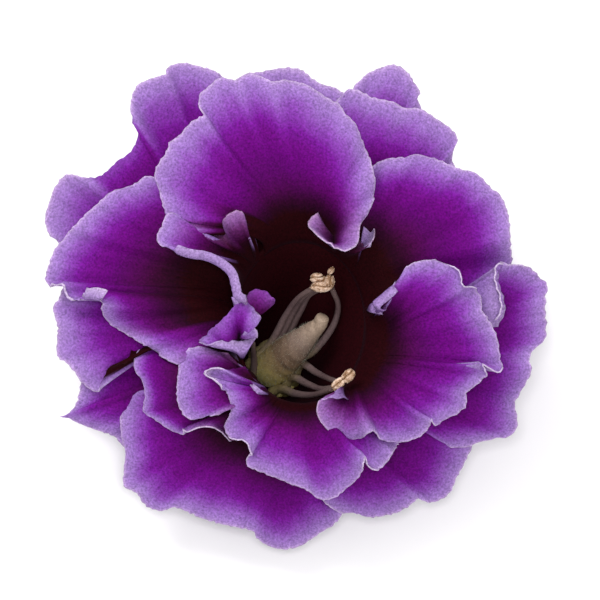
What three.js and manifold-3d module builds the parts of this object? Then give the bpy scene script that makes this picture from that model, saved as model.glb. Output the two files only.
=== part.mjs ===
// A double gloxinia bloom, picked with its green calyx and a stub of its stalk.
// Millimetres, +Z up. The bloom stands on its five sepals with its face up,
// leaning a little toward -Y.
import * as THREE from 'three';
import { mergeVertices } from 'three/addons/utils/BufferGeometryUtils.js';
import Module from 'manifold-3d';

const wasm = await Module();
wasm.setup();

// ---- Driving dimensions --------------------------------------------------

const FACE_TILT = THREE.MathUtils.degToRad(15); // how far the face leans toward -Y
const FACE_HEIGHT = 36; // from the table up to the middle of the face
const GAP = 0.4; // between pieces that touch

// The corolla tube, in the face's own frame: X right, Y up the face, Z out of it.
const TUBE_BASE = new THREE.Vector3(-5, -12.5, -24);
const TUBE_MOUTH = new THREE.Vector3(2, -0.7, -2);
const TUBE_BASE_RADIUS = 6;
const TUBE_MOUTH_RADII = [13, 16.5]; // across the face and up it
const TUBE_STRAIGHT = 12; // how far the tube rises before it bends to the face
const TUBE_SIDES = 28;
const TUBE_ROWS = 5;

const PETAL_THICKNESS = 0.7;
const COLUMN_WIDTH = 4; // facet width along a lobe's edge
const LOBE_ROWS = 4; // facets from the tube to a lobe's edge
const SMOOTHING = 0.1; // share of a lobe's edge over which its frill fades inward
const FRILL_FADE = 3; // power by which the frill grows toward the edge

// Each whorl: the wall it leaves, where it leaves it and how it arches.
// offset is measured from the tube's surface, level runs from 0 at the base to 1
// at the mouth, rise, reach and crown shape the arch from the wall to the edge.
const OUTER = { offset: 1.9, wall: 1.1, top: 0.74, level: 0.7, rise: 4, reach: 0.45, crown: 4 };
const MIDDLE = { offset: 0, level: 0.86, rise: 5, reach: 0.45, crown: 3.5 };
const INNER = { offset: 0, wall: 1.1, top: 1, level: 0.96, rise: 7, reach: 0.45, crown: 4 };
const FLOOR = 1.2; // thickness of the tubes' closed lower ends

// A lobe leaves the tube between two angles, in degrees, and its edge is a curve
// through [x, y, height] points of the face.
const OUTER_LOBES = {
  outer_upper_left: {
    from: 182,
    to: 114,
    rim: [
      [-20.7, 2.3, -7], [-32.4, 6.7, -8], [-42.8, 11, -9], [-45.5, 13.3, -10], [-46.3, 15.7, -11],
      [-45.5, 18.9, -11], [-44.6, 21.4, -10], [-42.7, 23.4, -9], [-39.6, 23.2, -8],
      [-37.1, 23.2, -8], [-35.1, 24.3, -9], [-33.1, 26.1, -9], [-31.3, 27.2, -9],
      [-29.9, 29.2, -8], [-29.5, 31.1, -8], [-30.2, 33.1, -8], [-30.4, 35.8, -9], [-30.4, 38, -10],
      [-29.3, 40, -10], [-27.4, 41, -10], [-24.1, 42.1, -10], [-23.6, 43.4, -11],
      [-21.4, 44.1, -11], [-18.5, 43.4, -11], [-16.2, 42.7, -10], [-14, 41.4, -9],
      [-11.5, 36.9, -8], [-8.6, 22.5, -7],
    ],
  },
  outer_top: {
    from: 113,
    to: 81,
    rim: [
      [-11.2, 22.5, -7], [-13.3, 33.3, -8], [-13.3, 39.4, -9], [-11.5, 41, -10], [-9.7, 42.1, -10],
      [-7.6, 42.3, -11], [-5, 42.8, -11], [-1.8, 43.2, -12], [0.4, 42.7, -12], [2.2, 41.2, -11],
      [4, 40.1, -10], [6.5, 39.4, -10], [8.6, 37.3, -9], [9, 29.7, -8], [6.8, 20.7, -7],
    ],
  },
  outer_top_right_back: {
    from: 72,
    to: 46,
    rim: [
      [6.5, 22.5, -9], [8.3, 33.3, -11], [9.5, 38.5, -12], [11.2, 40.9, -12], [13.1, 42.5, -13],
      [14.9, 43.2, -13], [16.9, 43.7, -13], [18.5, 43.2, -13], [20, 41.8, -13], [21.1, 40, -13],
      [21.6, 37.8, -12], [22.1, 35.5, -12], [22.3, 29.7, -11], [17.1, 18.9, -9],
    ],
  },
  outer_top_right: {
    from: 80,
    to: 20,
    rim: [
      [4, 20.7, -6], [5, 31.5, -7], [7.2, 37.4, -8], [8.8, 39.1, -8], [10.6, 38.9, -8],
      [12.8, 37.8, -8], [14.9, 37.3, -8], [16.9, 36.9, -8], [18.9, 35.8, -8], [21.8, 35.6, -9],
      [23.9, 34.4, -9], [25.7, 33.3, -9], [27.5, 32, -9], [28.6, 30.1, -10], [27.9, 28.3, -10],
      [27.7, 26.5, -10], [28.4, 23.9, -9], [27, 18, -8], [18.9, 9.9, -7],
    ],
  },
  outer_right: {
    from: 8,
    to: -45,
    rim: [
      [21.6, -4.5, -6], [27.9, -6.3, -5], [32.8, -5.2, -3], [34.9, -3.1, -2], [36.2, -0.5, -1],
      [35.8, 2, -1], [35.1, 4.3, -1], [35.1, 6.5, -1], [36, 7.7, -2], [37.4, 7.2, -3],
      [39.6, 7.2, -5], [41.6, 6.7, -6], [43.4, 5.2, -7], [45, 3.6, -8], [44.5, 1.4, -8],
      [44.5, -1.3, -8], [44.8, -3.8, -9], [44.5, -6.1, -9], [42.7, -7.7, -8], [41.6, -9.5, -7],
      [41.9, -11.7, -7], [41.2, -14, -8], [40, -16, -8], [38.9, -17.8, -7], [39.4, -20.3, -8],
      [39.2, -22.9, -9], [37.8, -23.9, -9], [35.3, -24.3, -9], [32.9, -24.8, -9],
      [30.2, -25.7, -9], [27.9, -25.6, -9], [25.6, -24.5, -8], [21.6, -21.6, -7], [14, -17.5, -6],
    ],
  },
  outer_bottom_right: {
    from: -46,
    to: -87,
    rim: [
      [17.1, -15.7, -8], [25.2, -19.8, -11], [31.3, -25.4, -12], [30.6, -27.5, -12],
      [29.7, -29.5, -13], [28.4, -31.7, -13], [27.7, -33.7, -13], [26.5, -35.1, -14],
      [24.7, -35.8, -14], [22.9, -35.6, -13], [21.4, -35.3, -12], [20, -36.5, -12],
      [18, -37.6, -12], [15.3, -38.5, -13], [12.6, -38.7, -13], [9.9, -38.3, -13], [7.9, -38, -12],
      [6.1, -37.1, -11], [4, -35.1, -10], [2.2, -29.7, -9], [3.2, -20.7, -7],
    ],
  },
  outer_bottom_left: {
    from: -88,
    to: -142,
    rim: [
      [4.3, -20.7, -7], [6.8, -31.5, -11], [7.7, -37.8, -13], [6.3, -40, -13], [3.6, -41.6, -13],
      [0.9, -43.6, -14], [-1.8, -44.5, -15], [-4.5, -44.5, -15], [-6.8, -43.2, -14],
      [-8.6, -41.4, -13], [-11.2, -40.5, -12], [-14.8, -39.8, -12], [-18, -38.9, -12],
      [-20.7, -37.6, -12], [-23, -36.9, -11], [-25.9, -37.4, -12], [-28.3, -36.5, -12],
      [-29.9, -34.2, -11], [-32, -32.9, -11], [-32, -29.7, -10], [-32, -26.5, -10],
      [-32.6, -23.8, -9], [-32.8, -20.7, -9], [-32.4, -18.2, -8], [-31.3, -16.4, -7],
      [-29.2, -15.5, -6], [-24.3, -15.7, -6], [-15.3, -12.6, -6],
    ],
  },
  outer_left: {
    from: -143,
    to: -177,
    rim: [
      [-13.5, -10.3, -7], [-22.5, -18, -10], [-29.7, -24.3, -11], [-32.2, -25.7, -12],
      [-33.8, -24.1, -12], [-36.4, -23, -12], [-39.6, -22, -11], [-41.8, -20.9, -10],
      [-43.6, -20.5, -9], [-42.1, -19.6, -10], [-40.9, -18.2, -10], [-40.1, -16.2, -10],
      [-39.6, -13.5, -10], [-35.1, -7.2, -9], [-20.7, -0.9, -7],
    ],
  },
};
const MIDDLE_LOBES = {
  mid_left_lower: {
    from: 222,
    to: 196,
    rim: [
      [-15.3, -7.2, -2], [-24.3, -8.5, -3], [-29, -6.3, -2], [-30.1, -8.5, -2], [-31.1, -10.1, -2],
      [-33.3, -10.8, -3], [-34.7, -11.7, -4], [-36, -13.9, -5], [-36.9, -15.5, -6],
      [-38.3, -15.1, -6], [-39.6, -14, -6], [-41, -11.9, -6], [-42.5, -10.3, -6],
      [-43.9, -9.4, -6], [-44.1, -6.8, -6], [-43.9, -4.5, -6], [-44.3, -2.3, -6],
      [-44.8, -0.5, -6], [-43.7, 1.1, -6], [-42.8, 3.1, -6], [-37.8, 5.4, -5], [-19.8, 3.6, -3],
    ],
  },
  mid_left: {
    from: 194,
    to: 132,
    rim: [
      [-14, -3.1, 0], [-18, -1.3, 1], [-20.2, -2.9, 2], [-18.9, -4.9, 3], [-19.1, -7, 3],
      [-20.9, -8.1, 2], [-22.3, -10.3, 1], [-24.3, -9.4, 1], [-27, -7.9, 0], [-29.7, -6.3, -1],
      [-32.4, -4.7, -1], [-34.7, -3.2, -1], [-35.8, -1.3, 0], [-35.5, 0.5, 1], [-36.9, 1.1, 1],
      [-39.1, 1.1, 0], [-40.7, 0.7, -1], [-42.1, 1.6, -2], [-42.8, 3.6, -2], [-44.6, 3.4, -3],
      [-46.1, 4.7, -4], [-45.5, 7.2, -4], [-44.5, 9.9, -4], [-42.7, 12.2, -4], [-40.5, 14.6, -4],
      [-38.5, 16.7, -4], [-36.4, 18.5, -3], [-34.6, 20.2, -3], [-32.4, 21.2, -3],
      [-29.7, 22.1, -3], [-28.1, 23.2, -3], [-25.6, 22.9, -3], [-19.8, 20.7, -2], [-9, 16.7, -1],
    ],
  },
  mid_right_upper: {
    from: 58,
    to: 8,
    rim: [
      [8.1, 18, 0], [10.4, 21.6, -1], [12.2, 24.1, -2], [14, 25.6, -3], [16.2, 26.5, -3],
      [18.9, 26.8, -3], [21.6, 27.2, -3], [23.9, 26.8, -4], [26.5, 25.6, -4], [29.3, 24.5, -4],
      [31.5, 24.1, -4], [33.1, 22.9, -4], [34.7, 21.1, -4], [36.2, 20, -4], [37.3, 17.8, -4],
      [37.8, 15.5, -4], [38, 12.6, -4], [38.3, 9.9, -5], [38.5, 7.9, -6], [37.4, 5.9, -6],
      [35.6, 4, -6], [32.4, 2.7, -5], [25.2, 1.6, -3], [17.6, 1.6, -2],
    ],
  },
  low_left_outer: {
    from: 252,
    to: 224,
    rim: [
      [-6.8, -15.7, -2], [-10.3, -21.6, -3], [-12.4, -24.5, -3], [-14, -23, -2], [-15.8, -22, -1],
      [-18, -22, -1], [-20.7, -23, -2], [-22.9, -22.9, -4], [-24.7, -21.8, -4], [-26.6, -20.5, -4],
      [-28.4, -19.3, -3], [-28.1, -16.6, -3], [-28.6, -13.9, -3], [-29.9, -11.5, -2],
      [-29.9, -9.4, -2], [-28.4, -7.2, -2], [-24.3, -5.9, -2], [-14.4, -7.2, -1],
    ],
  },
};
const INNER_LOBES = {
  low_left_inner: {
    from: 240,
    to: 222,
    rim: [
      [-9, -13.5, 1], [-11.2, -17.5, 1], [-13.7, -19.1, 1], [-15.8, -19.6, 0], [-18, -20.3, -1],
      [-20, -20.5, -1], [-21.4, -19.4, -1], [-22.1, -17.1, -1], [-22.1, -14.4, -1],
      [-21.8, -11.2, -1], [-21.1, -8.6, 0], [-18, -6.7, 1], [-13, -7.2, 1],
    ],
  },
  inner_bottom: {
    from: 286,
    to: 236,
    rim: [
      [9.4, -14.6, 0], [15.3, -18.9, 0], [18, -24.3, 0], [17.1, -26.3, 1], [15.8, -28.4, 1],
      [13.7, -29.7, 2], [12.2, -28.8, 3], [11.7, -27.2, 4], [11.2, -29.3, 3], [10.4, -31.5, 2],
      [8.6, -33.3, 2], [5.8, -35.1, 1], [3.6, -35.1, 1], [1.4, -33.5, 2], [-1.6, -32.4, 2],
      [-4.5, -31.3, 2], [-7.4, -30.2, 2], [-9.5, -29, 3], [-9, -26.5, 3], [-9.7, -24.5, 3],
      [-12.6, -23.9, 3], [-13.9, -22.5, 3], [-12.8, -20, 3], [-12.8, -17.5, 3], [-14, -14.9, 4],
      [-15.3, -13.5, 5], [-17.3, -12.2, 6], [-15.1, -11.2, 6], [-13, -11.3, 4], [-9.9, -11, 3],
    ],
  },
  inner_right: {
    from: 12,
    to: -72,
    rim: [
      [15.5, -2.3, 0], [14, -1.3, 2], [13.1, 0.4, 4], [14.4, 1.6, 4], [16.7, 3.6, 4],
      [18.4, 5.2, 4], [19.6, 6.8, 4], [21.6, 7.7, 4], [25.2, 8.1, 4], [26.8, 7.2, 4],
      [28.6, 6.1, 4], [29.3, 3.4, 4], [31.3, 3.2, 3], [32.8, 1.3, 3], [32.8, -0.7, 3],
      [34.2, -2.9, 3], [35.6, -5.8, 2], [36.2, -8.5, 2], [36.5, -11, 2], [35.8, -12.1, 3],
      [33.8, -11.2, 4], [32.8, -10.6, 4], [33.5, -12.6, 3], [32.2, -14.2, 3], [30.1, -16, 3],
      [30.2, -18, 3], [29, -19.1, 3], [26.8, -20.3, 3], [25, -21.4, 3], [23.8, -20.7, 4],
      [23.2, -22.3, 3], [21.6, -23.8, 2], [18, -24.8, 2], [15.5, -24.5, 2], [13.9, -22.9, 3],
      [12.6, -22.5, 3], [10.8, -23.9, 2], [8.1, -24.3, 2], [7, -22.9, 2], [4.9, -20.9, 3],
      [3.1, -18.5, 4], [4.3, -16.9, 5], [6.5, -16.4, 5], [7.7, -17.5, 3], [9.4, -17.1, 1],
    ],
  },
  inner_top: {
    from: 142,
    to: 52,
    rim: [
      [-10.8, 16.4, 0], [-14.4, 16.7, 1], [-16.6, 14.2, 3], [-19.1, 14.6, 4], [-21.6, 16, 4],
      [-23.9, 16.6, 4], [-24.7, 18.4, 4], [-25.4, 20.7, 4], [-26.3, 23.9, 4], [-25.2, 26.1, 4],
      [-23.9, 27.9, 4], [-23.4, 29.5, 4], [-21.8, 30.6, 4], [-19.8, 32.8, 4], [-17.3, 34.2, 4],
      [-18, 36.2, 4], [-18, 38.2, 4], [-16.6, 39.2, 4], [-14.4, 41, 4], [-11.7, 40.7, 3],
      [-9.4, 41.8, 3], [-7.2, 41.2, 3], [-5, 40.3, 3], [-2.2, 40.7, 3], [0, 40.1, 3],
      [2.3, 39.1, 3], [4.5, 37.6, 3], [6.8, 36.5, 3], [7.9, 34.9, 3], [10.1, 32.6, 3],
      [11.2, 30.2, 3], [12.2, 27.5, 3], [13.1, 24.3, 4], [13.5, 21.6, 4], [12.8, 18.9, 4],
      [11.9, 16.6, 4], [10.3, 15.1, 4], [9, 12.4, 5], [7.6, 11.7, 5], [5.8, 12.2, 5],
      [3.6, 13.7, 5], [1.8, 15.5, 3], [3.2, 16.7, 1],
    ],
  },
  inner_top_frill: {
    from: 58,
    to: 40,
    rim: [
      [9.4, 14.2, -1], [10.4, 13.1, 0], [11.5, 11.3, 0], [12.8, 11, 0], [13.7, 12.4, -1],
      [13.3, 14.2, -2], [11.9, 16, -2],
    ],
  },
  inner_left_upper: {
    from: 190,
    to: 146,
    rim: [
      [-8.3, -2.3, 5], [-9.9, 0.2, 8], [-11.3, 2.7, 8], [-10.6, 4.9, 8], [-11.2, 6.8, 8],
      [-13, 8.1, 8], [-15.3, 9.5, 8], [-18, 10.3, 8], [-20.5, 9.7, 8], [-23, 11, 7],
      [-25.6, 12.2, 6], [-24.5, 14.9, 5], [-23.4, 16.2, 5], [-20.7, 14.9, 5], [-17.1, 13.1, 5],
      [-14, 13.9, 5], [-13, 16.4, 6], [-10.8, 17.1, 6], [-9.7, 15.3, 4],
    ],
  },
  inner_left_lower: {
    from: 218,
    to: 194,
    rim: [
      [-7.9, -7.2, 4], [-9.7, -6.8, 6], [-12.2, -7.2, 6], [-14.4, -7, 6], [-14.9, -8.3, 5],
      [-17.1, -8.8, 5], [-18.9, -7.4, 5], [-16.6, -5.2, 5], [-14, -3.4, 6], [-11.9, -1.3, 7],
      [-10.3, 0.4, 8], [-8.3, 2, 8], [-6.1, 2.2, 7], [-5, 0.7, 7], [-6.8, -0.4, 7],
      [-6.8, -2.2, 7], [-7.6, -3.4, 5],
    ],
  },
};
// The calyx, round the foot of the tube, in the world's own frame.
const SEPALS = 5;
const SEPAL_TURN = 18; // degrees
const SEPAL_HALF_WIDTH = 5.2;
const SEPAL_THICKNESS = 1.1;
const SEPAL_KEEL = 0.9; // how far the edges stand above the midrib
const SEPAL_COLUMNS = 4;
const SEPAL_LENGTH_STEPS = 8;
// From the middle of the calyx outward: distance and height.
const SEPAL_PATH = [[1.5, 4.6], [7, 5], [13, 3.2], [18.5, 0.3], [21.5, 0.3], [25, 1.9]];
const RECEPTACLE_RADIUS = 5;
const STALK_RADIUS = 2.1;
const STALK_END = 1.2; // height of the cut end above the table

// The pistil and stamens, in the face's frame. The pistil is a club from its ovary
// to its blunt stigma, with a radius at each point of its path.
const PISTIL_PATH = [
  [-5, -12.4, -23.5], [-5, -11.5, -20.2], [-4.4, -10.8, -16.4], [-2, -8.8, -12.6],
  [0.6, -6.2, -9.8], [3, -3.7, -7.6], [4.3, -2.2, -6.3], [4.6, -1.8, -5.9],
];
const PISTIL_RADII = [2.8, 3.2, 2.9, 2.2, 1.75, 1.45, 1.2, 0.6];
const PISTIL_SIDES = 12;
const FILAMENT_RADIUS = 0.5;
const FILAMENT_SIDES = 5;
const RING_RADII = [3.9, 4.9]; // the low ring that the filaments grow from
const RING_HEIGHT = 0.9;
// foot is where on the ring a filament starts, in degrees; path leads to its anther.
const FILAMENTS = [
  { foot: 170, path: [[-6.4, -6.9, -15], [-2.7, -0.9, -10], [0, 1.9, -7.4], [2.2, 3.1, -6.3]] },
  { foot: 142, path: [[-4.5, -6.1, -15], [-1.7, -0.8, -10.4], [0.8, 1.7, -7.8], [2.8, 3.4, -6.4]] },
  { foot: 112, path: [[-2.6, -5.2, -15], [0, 0.2, -10], [1.8, 2, -7.8], [3.4, 2.9, -6.5]] },
  { foot: 20, path: [[2.4, -8.4, -14], [6, -3.8, -10.4], [6.9, -0.2, -8], [5.9, 2.7, -6.2]] },
  { foot: -25, path: [[0, -12, -15.5], [2.8, -11.8, -8.5], [5, -12.4, -3], [6.8, -13, 0.1]] },
  { foot: -58, path: [[-1.4, -14.2, -16], [1.8, -14.1, -8.5], [4.1, -14.2, -3], [6.1, -14.1, 0.1]] },
  { foot: -90, path: [[-3.8, -15.4, -17], [-0.6, -15.8, -10.5], [2.4, -15.1, -4.5], [5.2, -14.4, -0.1]] },
  { foot: 205, path: [[-8.9, -11.8, -17.5], [-9.1, -9.7, -14], [-9.1, -7.9, -11.5]] },
];
const UPPER_ANTHERS = [
  { at: [3.9, 3.1, -4.3], radii: [2.1, 1, 1.1], turn: 5 },
  { at: [3, 4.7, -4.4], radii: [1.25, 1, 1], turn: 0 },
  { at: [5.6, 4.3, -4.2], radii: [1, 1.5, 1], turn: -15 },
  { at: [6.2, 6, -4], radii: [0.6, 0.8, 0.6], turn: -30 },
];
const LOWER_ANTHERS = [
  { at: [6.9, -14.1, 1.9], radii: [1.4, 1, 0.9], turn: 45 },
  { at: [8.5, -12.7, 2.1], radii: [1.4, 1.05, 0.95], turn: 42 },
];

// ---- Solids and meshes ---------------------------------------------------

function vectors(points) {
  return points.map((point) => new THREE.Vector3(...point));
}

// A closed three.js geometry as a solid that can be joined and cut.
function solidOf(geometry) {
  const bare = geometry.clone();
  for (const name of Object.keys(bare.attributes)) {
    if (name !== 'position') bare.deleteAttribute(name);
  }
  const merged = mergeVertices(bare, 1e-5);
  const vertProperties = new Float32Array(merged.attributes.position.array);
  const triVerts = new Uint32Array(merged.index.array);
  return new wasm.Manifold(new wasm.Mesh({ numProp: 3, vertProperties, triVerts }));
}

// A list of points and a flat list of triangle corners as a solid.
function solidFrom(points, triangles) {
  const vertProperties = new Float32Array(points.flatMap((point) => point.toArray()));
  const triVerts = new Uint32Array(triangles);
  return new wasm.Manifold(new wasm.Mesh({ numProp: 3, vertProperties, triVerts }));
}

function meshOf(name, solid, material) {
  const { vertProperties, triVerts } = solid.getMesh();
  const geometry = new THREE.BufferGeometry();
  geometry.setAttribute('position', new THREE.BufferAttribute(new Float32Array(vertProperties), 3));
  geometry.setIndex(new THREE.BufferAttribute(new Uint32Array(triVerts), 1));
  geometry.computeVertexNormals();
  const mesh = new THREE.Mesh(geometry, material);
  mesh.name = name;
  return mesh;
}

// Several solids as one body, without the scraps and sealed hollows that crossing leaves.
function joined(solids) {
  const bodies = solids.reduce((whole, solid) => whole.add(solid)).decompose();
  return bodies.reduce((largest, body) => (body.volume() > largest.volume() ? body : largest));
}

// Rings of points, each with the same number of sides, between two end points.
function ringSolid(first, rings, last) {
  const sides = rings[0].length;
  const points = [first, ...rings.flat(), last];
  const end = points.length - 1;
  const triangles = [];
  for (let side = 0; side < sides; side += 1) {
    const next = (side + 1) % sides;
    triangles.push(0, 1 + next, 1 + side);
    for (let ring = 1; ring < rings.length; ring += 1) {
      const low = 1 + (ring - 1) * sides;
      const high = low + sides;
      triangles.push(low + side, low + next, high + next);
      triangles.push(low + side, high + next, high + side);
    }
    triangles.push(end - sides + side, end - sides + next, end);
  }
  return solidFrom(points, triangles);
}

// A grid of points, rows of equal length, thickened alike on both faces.
function bladeSolid(grid, thickness) {
  const rows = grid.length;
  const columns = grid[0].length;
  const half = thickness / 2;
  const within = (index, count) => Math.min(Math.max(index, 0), count - 1);
  const at = (row, column) => grid[within(row, rows)][within(column, columns)];
  const upper = [];
  const lower = [];
  for (let row = 0; row < rows; row += 1) {
    for (let column = 0; column < columns; column += 1) {
      const along = at(row, column + 1).clone().sub(at(row, column - 1));
      const across = at(row + 1, column).clone().sub(at(row - 1, column));
      const normal = along.cross(across).normalize();
      upper.push(at(row, column).clone().addScaledVector(normal, half));
      lower.push(at(row, column).clone().addScaledVector(normal, -half));
    }
  }
  const total = rows * columns;
  const triangles = [];
  for (let row = 0; row + 1 < rows; row += 1) {
    for (let column = 0; column + 1 < columns; column += 1) {
      const a = row * columns + column;
      const b = a + 1;
      const c = a + columns + 1;
      const d = a + columns;
      triangles.push(a, b, c, a, c, d);
      triangles.push(total + a, total + c, total + b, total + a, total + d, total + c);
    }
  }
  const border = [];
  for (let column = 0; column + 1 < columns; column += 1) border.push(column);
  for (let row = 0; row + 1 < rows; row += 1) border.push(row * columns + columns - 1);
  for (let column = columns - 1; column > 0; column -= 1) border.push((rows - 1) * columns + column);
  for (let row = rows - 1; row > 0; row -= 1) border.push(row * columns);
  border.forEach((from, index) => {
    const to = border[(index + 1) % border.length];
    triangles.push(from, total + from, total + to, from, total + to, to);
  });
  return solidFrom([...upper, ...lower], triangles);
}

// ---- The corolla ---------------------------------------------------------

const UP = new THREE.Vector3(0, Math.sin(FACE_TILT), Math.cos(FACE_TILT)); // the world's up

const tubeAxis = new THREE.QuadraticBezierCurve3(
  TUBE_BASE,
  TUBE_BASE.clone().addScaledVector(UP, TUBE_STRAIGHT),
  TUBE_MOUTH,
);

// A point of the tube at an angle and a level, so far outside its surface.
// Its sections turn from level with the table to level with the face.
function tubePoint(angle, level, offset) {
  const turn = FACE_TILT * (1 - level);
  const across = THREE.MathUtils.lerp(TUBE_BASE_RADIUS, TUBE_MOUTH_RADII[0], level) + offset;
  const along = THREE.MathUtils.lerp(TUBE_BASE_RADIUS, TUBE_MOUTH_RADII[1], level) + offset;
  const rise = new THREE.Vector3(0, Math.cos(turn), -Math.sin(turn));
  const point = tubeAxis.getPoint(level);
  point.x += across * Math.cos(angle);
  return point.addScaledVector(rise, along * Math.sin(angle));
}

function tubeRing(level, offset) {
  return Array.from({ length: TUBE_SIDES }, (_, side) => (
    tubePoint((2 * Math.PI * side) / TUBE_SIDES, level, offset)
  ));
}

// A cup: up the outside, over the edge and down the inside. It ends below the
// level 0 by its own thickness and by what it stands away from the tube.
function tubeSolid({ offset, wall, top }) {
  const drop = (depth) => TUBE_BASE.clone().addScaledVector(UP, -depth);
  const sink = offset > 0 ? FLOOR + GAP : 0;
  const outside = offset + wall / 2;
  const inside = offset - wall / 2;
  const lowered = (ring, depth) => ring.map((point) => point.clone().addScaledVector(UP, -depth));
  const levels = Array.from({ length: TUBE_ROWS + 1 }, (_, row) => (top * row) / TUBE_ROWS);
  const rings = [
    lowered(tubeRing(0, outside - 1), sink + FLOOR),
    lowered(tubeRing(0, outside), sink + FLOOR - 1),
    ...levels.slice(1).map((level) => tubeRing(level, outside)),
    ...levels.slice(1).reverse().map((level) => tubeRing(level, inside)),
    lowered(tubeRing(0, inside), sink),
  ];
  return ringSolid(drop(sink + FLOOR), rings, drop(sink));
}

// The edge's points averaged with their neighbours, ends kept.
function smoothed(points, reach) {
  return points.map((point, index) => {
    const width = Math.min(reach, index, points.length - 1 - index);
    const sum = new THREE.Vector3();
    for (let step = -width; step <= width; step += 1) sum.add(points[index + step]);
    return sum.divideScalar(2 * width + 1);
  });
}

// A lobe's middle surface: from its arc of the tube, up along the wall and over
// to its frilled edge.
function lobeGrid(lobe, whorl) {
  const rimCurve = new THREE.CatmullRomCurve3(vectors(lobe.rim), false, 'centripetal');
  const columns = Math.round(rimCurve.getLength() / COLUMN_WIDTH);
  const rim = rimCurve.getSpacedPoints(columns);
  const calm = smoothed(rim, Math.round(columns * SMOOTHING));
  const arches = calm.map((edge, column) => {
    const angle = THREE.MathUtils.degToRad(THREE.MathUtils.lerp(lobe.from, lobe.to, column / columns));
    const root = tubePoint(angle, whorl.level, whorl.offset);
    const below = tubePoint(angle, whorl.level - 0.1, whorl.offset);
    const wall = root.clone().sub(below).normalize();
    const inward = new THREE.Vector3(root.x - edge.x, root.y - edge.y, 0);
    const span = inward.length();
    const lift = root.clone().addScaledVector(wall, Math.min(whorl.rise, span * 0.35));
    const crest = edge.clone().addScaledVector(inward, whorl.reach);
    crest.z += Math.min(whorl.crown, span * 0.2);
    return new THREE.CubicBezierCurve3(root, lift, crest, edge);
  });
  return Array.from({ length: LOBE_ROWS + 1 }, (_, row) => {
    const share = row / LOBE_ROWS;
    return arches.map((arch, column) => {
      const frill = rim[column].clone().sub(calm[column]);
      return arch.getPoint(share).addScaledVector(frill, share ** FRILL_FADE);
    });
  });
}

function lobeSolids(lobes, whorl) {
  return Object.values(lobes).map((lobe) => bladeSolid(lobeGrid(lobe, whorl), PETAL_THICKNESS));
}

// ---- The calyx -----------------------------------------------------------

// Half the width of a sepal along its length: narrow foot, wide middle, pointed tip.
function sepalHalfWidth(share) {
  return 1.2 + SEPAL_HALF_WIDTH * Math.sin(Math.PI * share ** 0.8) * (1 - 0.35 * share) - share;
}

function sepalSolid(turn) {
  const points = SEPAL_PATH.map(([radius, height]) => [radius, 0, height]);
  const line = new THREE.CatmullRomCurve3(vectors(points)).getSpacedPoints(SEPAL_LENGTH_STEPS);
  const grid = line.map((middle, step) => {
    const half = sepalHalfWidth(step / SEPAL_LENGTH_STEPS);
    return Array.from({ length: SEPAL_COLUMNS + 1 }, (_, column) => {
      const side = 1 - (2 * column) / SEPAL_COLUMNS;
      const keel = SEPAL_KEEL * side * side * (half / SEPAL_HALF_WIDTH);
      const point = new THREE.Vector3(middle.x, side * half, middle.z + keel);
      return point.applyAxisAngle(new THREE.Vector3(0, 0, 1), turn);
    });
  });
  return bladeSolid(grid, SEPAL_THICKNESS);
}

function calyxSolid(footHeight) {
  const profile = [
    [0, STALK_END], [STALK_RADIUS, STALK_END], [STALK_RADIUS, 2.4], [RECEPTACLE_RADIUS - 1, 3.4],
    [RECEPTACLE_RADIUS, 4.4], [RECEPTACLE_RADIUS, footHeight], [0, footHeight],
  ].map(([radius, height]) => new THREE.Vector2(radius, height));
  const receptacle = solidOf(new THREE.LatheGeometry(profile, 16).rotateX(Math.PI / 2));
  const sepals = Array.from({ length: SEPALS }, (_, index) => (
    sepalSolid(THREE.MathUtils.degToRad(SEPAL_TURN) + (2 * Math.PI * index) / SEPALS)
  ));
  const table = solidOf(new THREE.BoxGeometry(80, 80, 10).translate(0, 0, -5));
  return joined([receptacle, ...sepals]).subtract(table);
}

// ---- The pistil and stamens ----------------------------------------------

// A round rod along a curve, with a radius at each of its evenly spread stations.
function rodSolid(points, radii, sides, steps) {
  const curve = new THREE.CatmullRomCurve3(vectors(points));
  const side = new THREE.Vector3(1, 0, 0);
  const rings = Array.from({ length: steps + 1 }, (_, step) => {
    const share = step / steps;
    const middle = curve.getPoint(share);
    const heading = curve.getTangent(share);
    side.addScaledVector(heading, -side.dot(heading)).normalize();
    const other = heading.clone().cross(side);
    const place = share * (radii.length - 1);
    const before = Math.min(Math.floor(place), radii.length - 2);
    const radius = THREE.MathUtils.lerp(radii[before], radii[before + 1], place - before);
    return Array.from({ length: sides }, (_unused, index) => {
      const angle = (2 * Math.PI * index) / sides;
      const point = middle.clone().addScaledVector(side, radius * Math.cos(angle));
      return point.addScaledVector(other, radius * Math.sin(angle));
    });
  });
  return ringSolid(curve.getPoint(0), rings, curve.getPoint(1));
}

function ellipsoidSolid({ at, radii, turn = 0 }) {
  const ball = new THREE.SphereGeometry(1, 10, 6).scale(...radii);
  return solidOf(ball.rotateZ(THREE.MathUtils.degToRad(turn)).translate(...at));
}

function pistilSolid() {
  return rodSolid(PISTIL_PATH, PISTIL_RADII, PISTIL_SIDES, 14);
}

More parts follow.
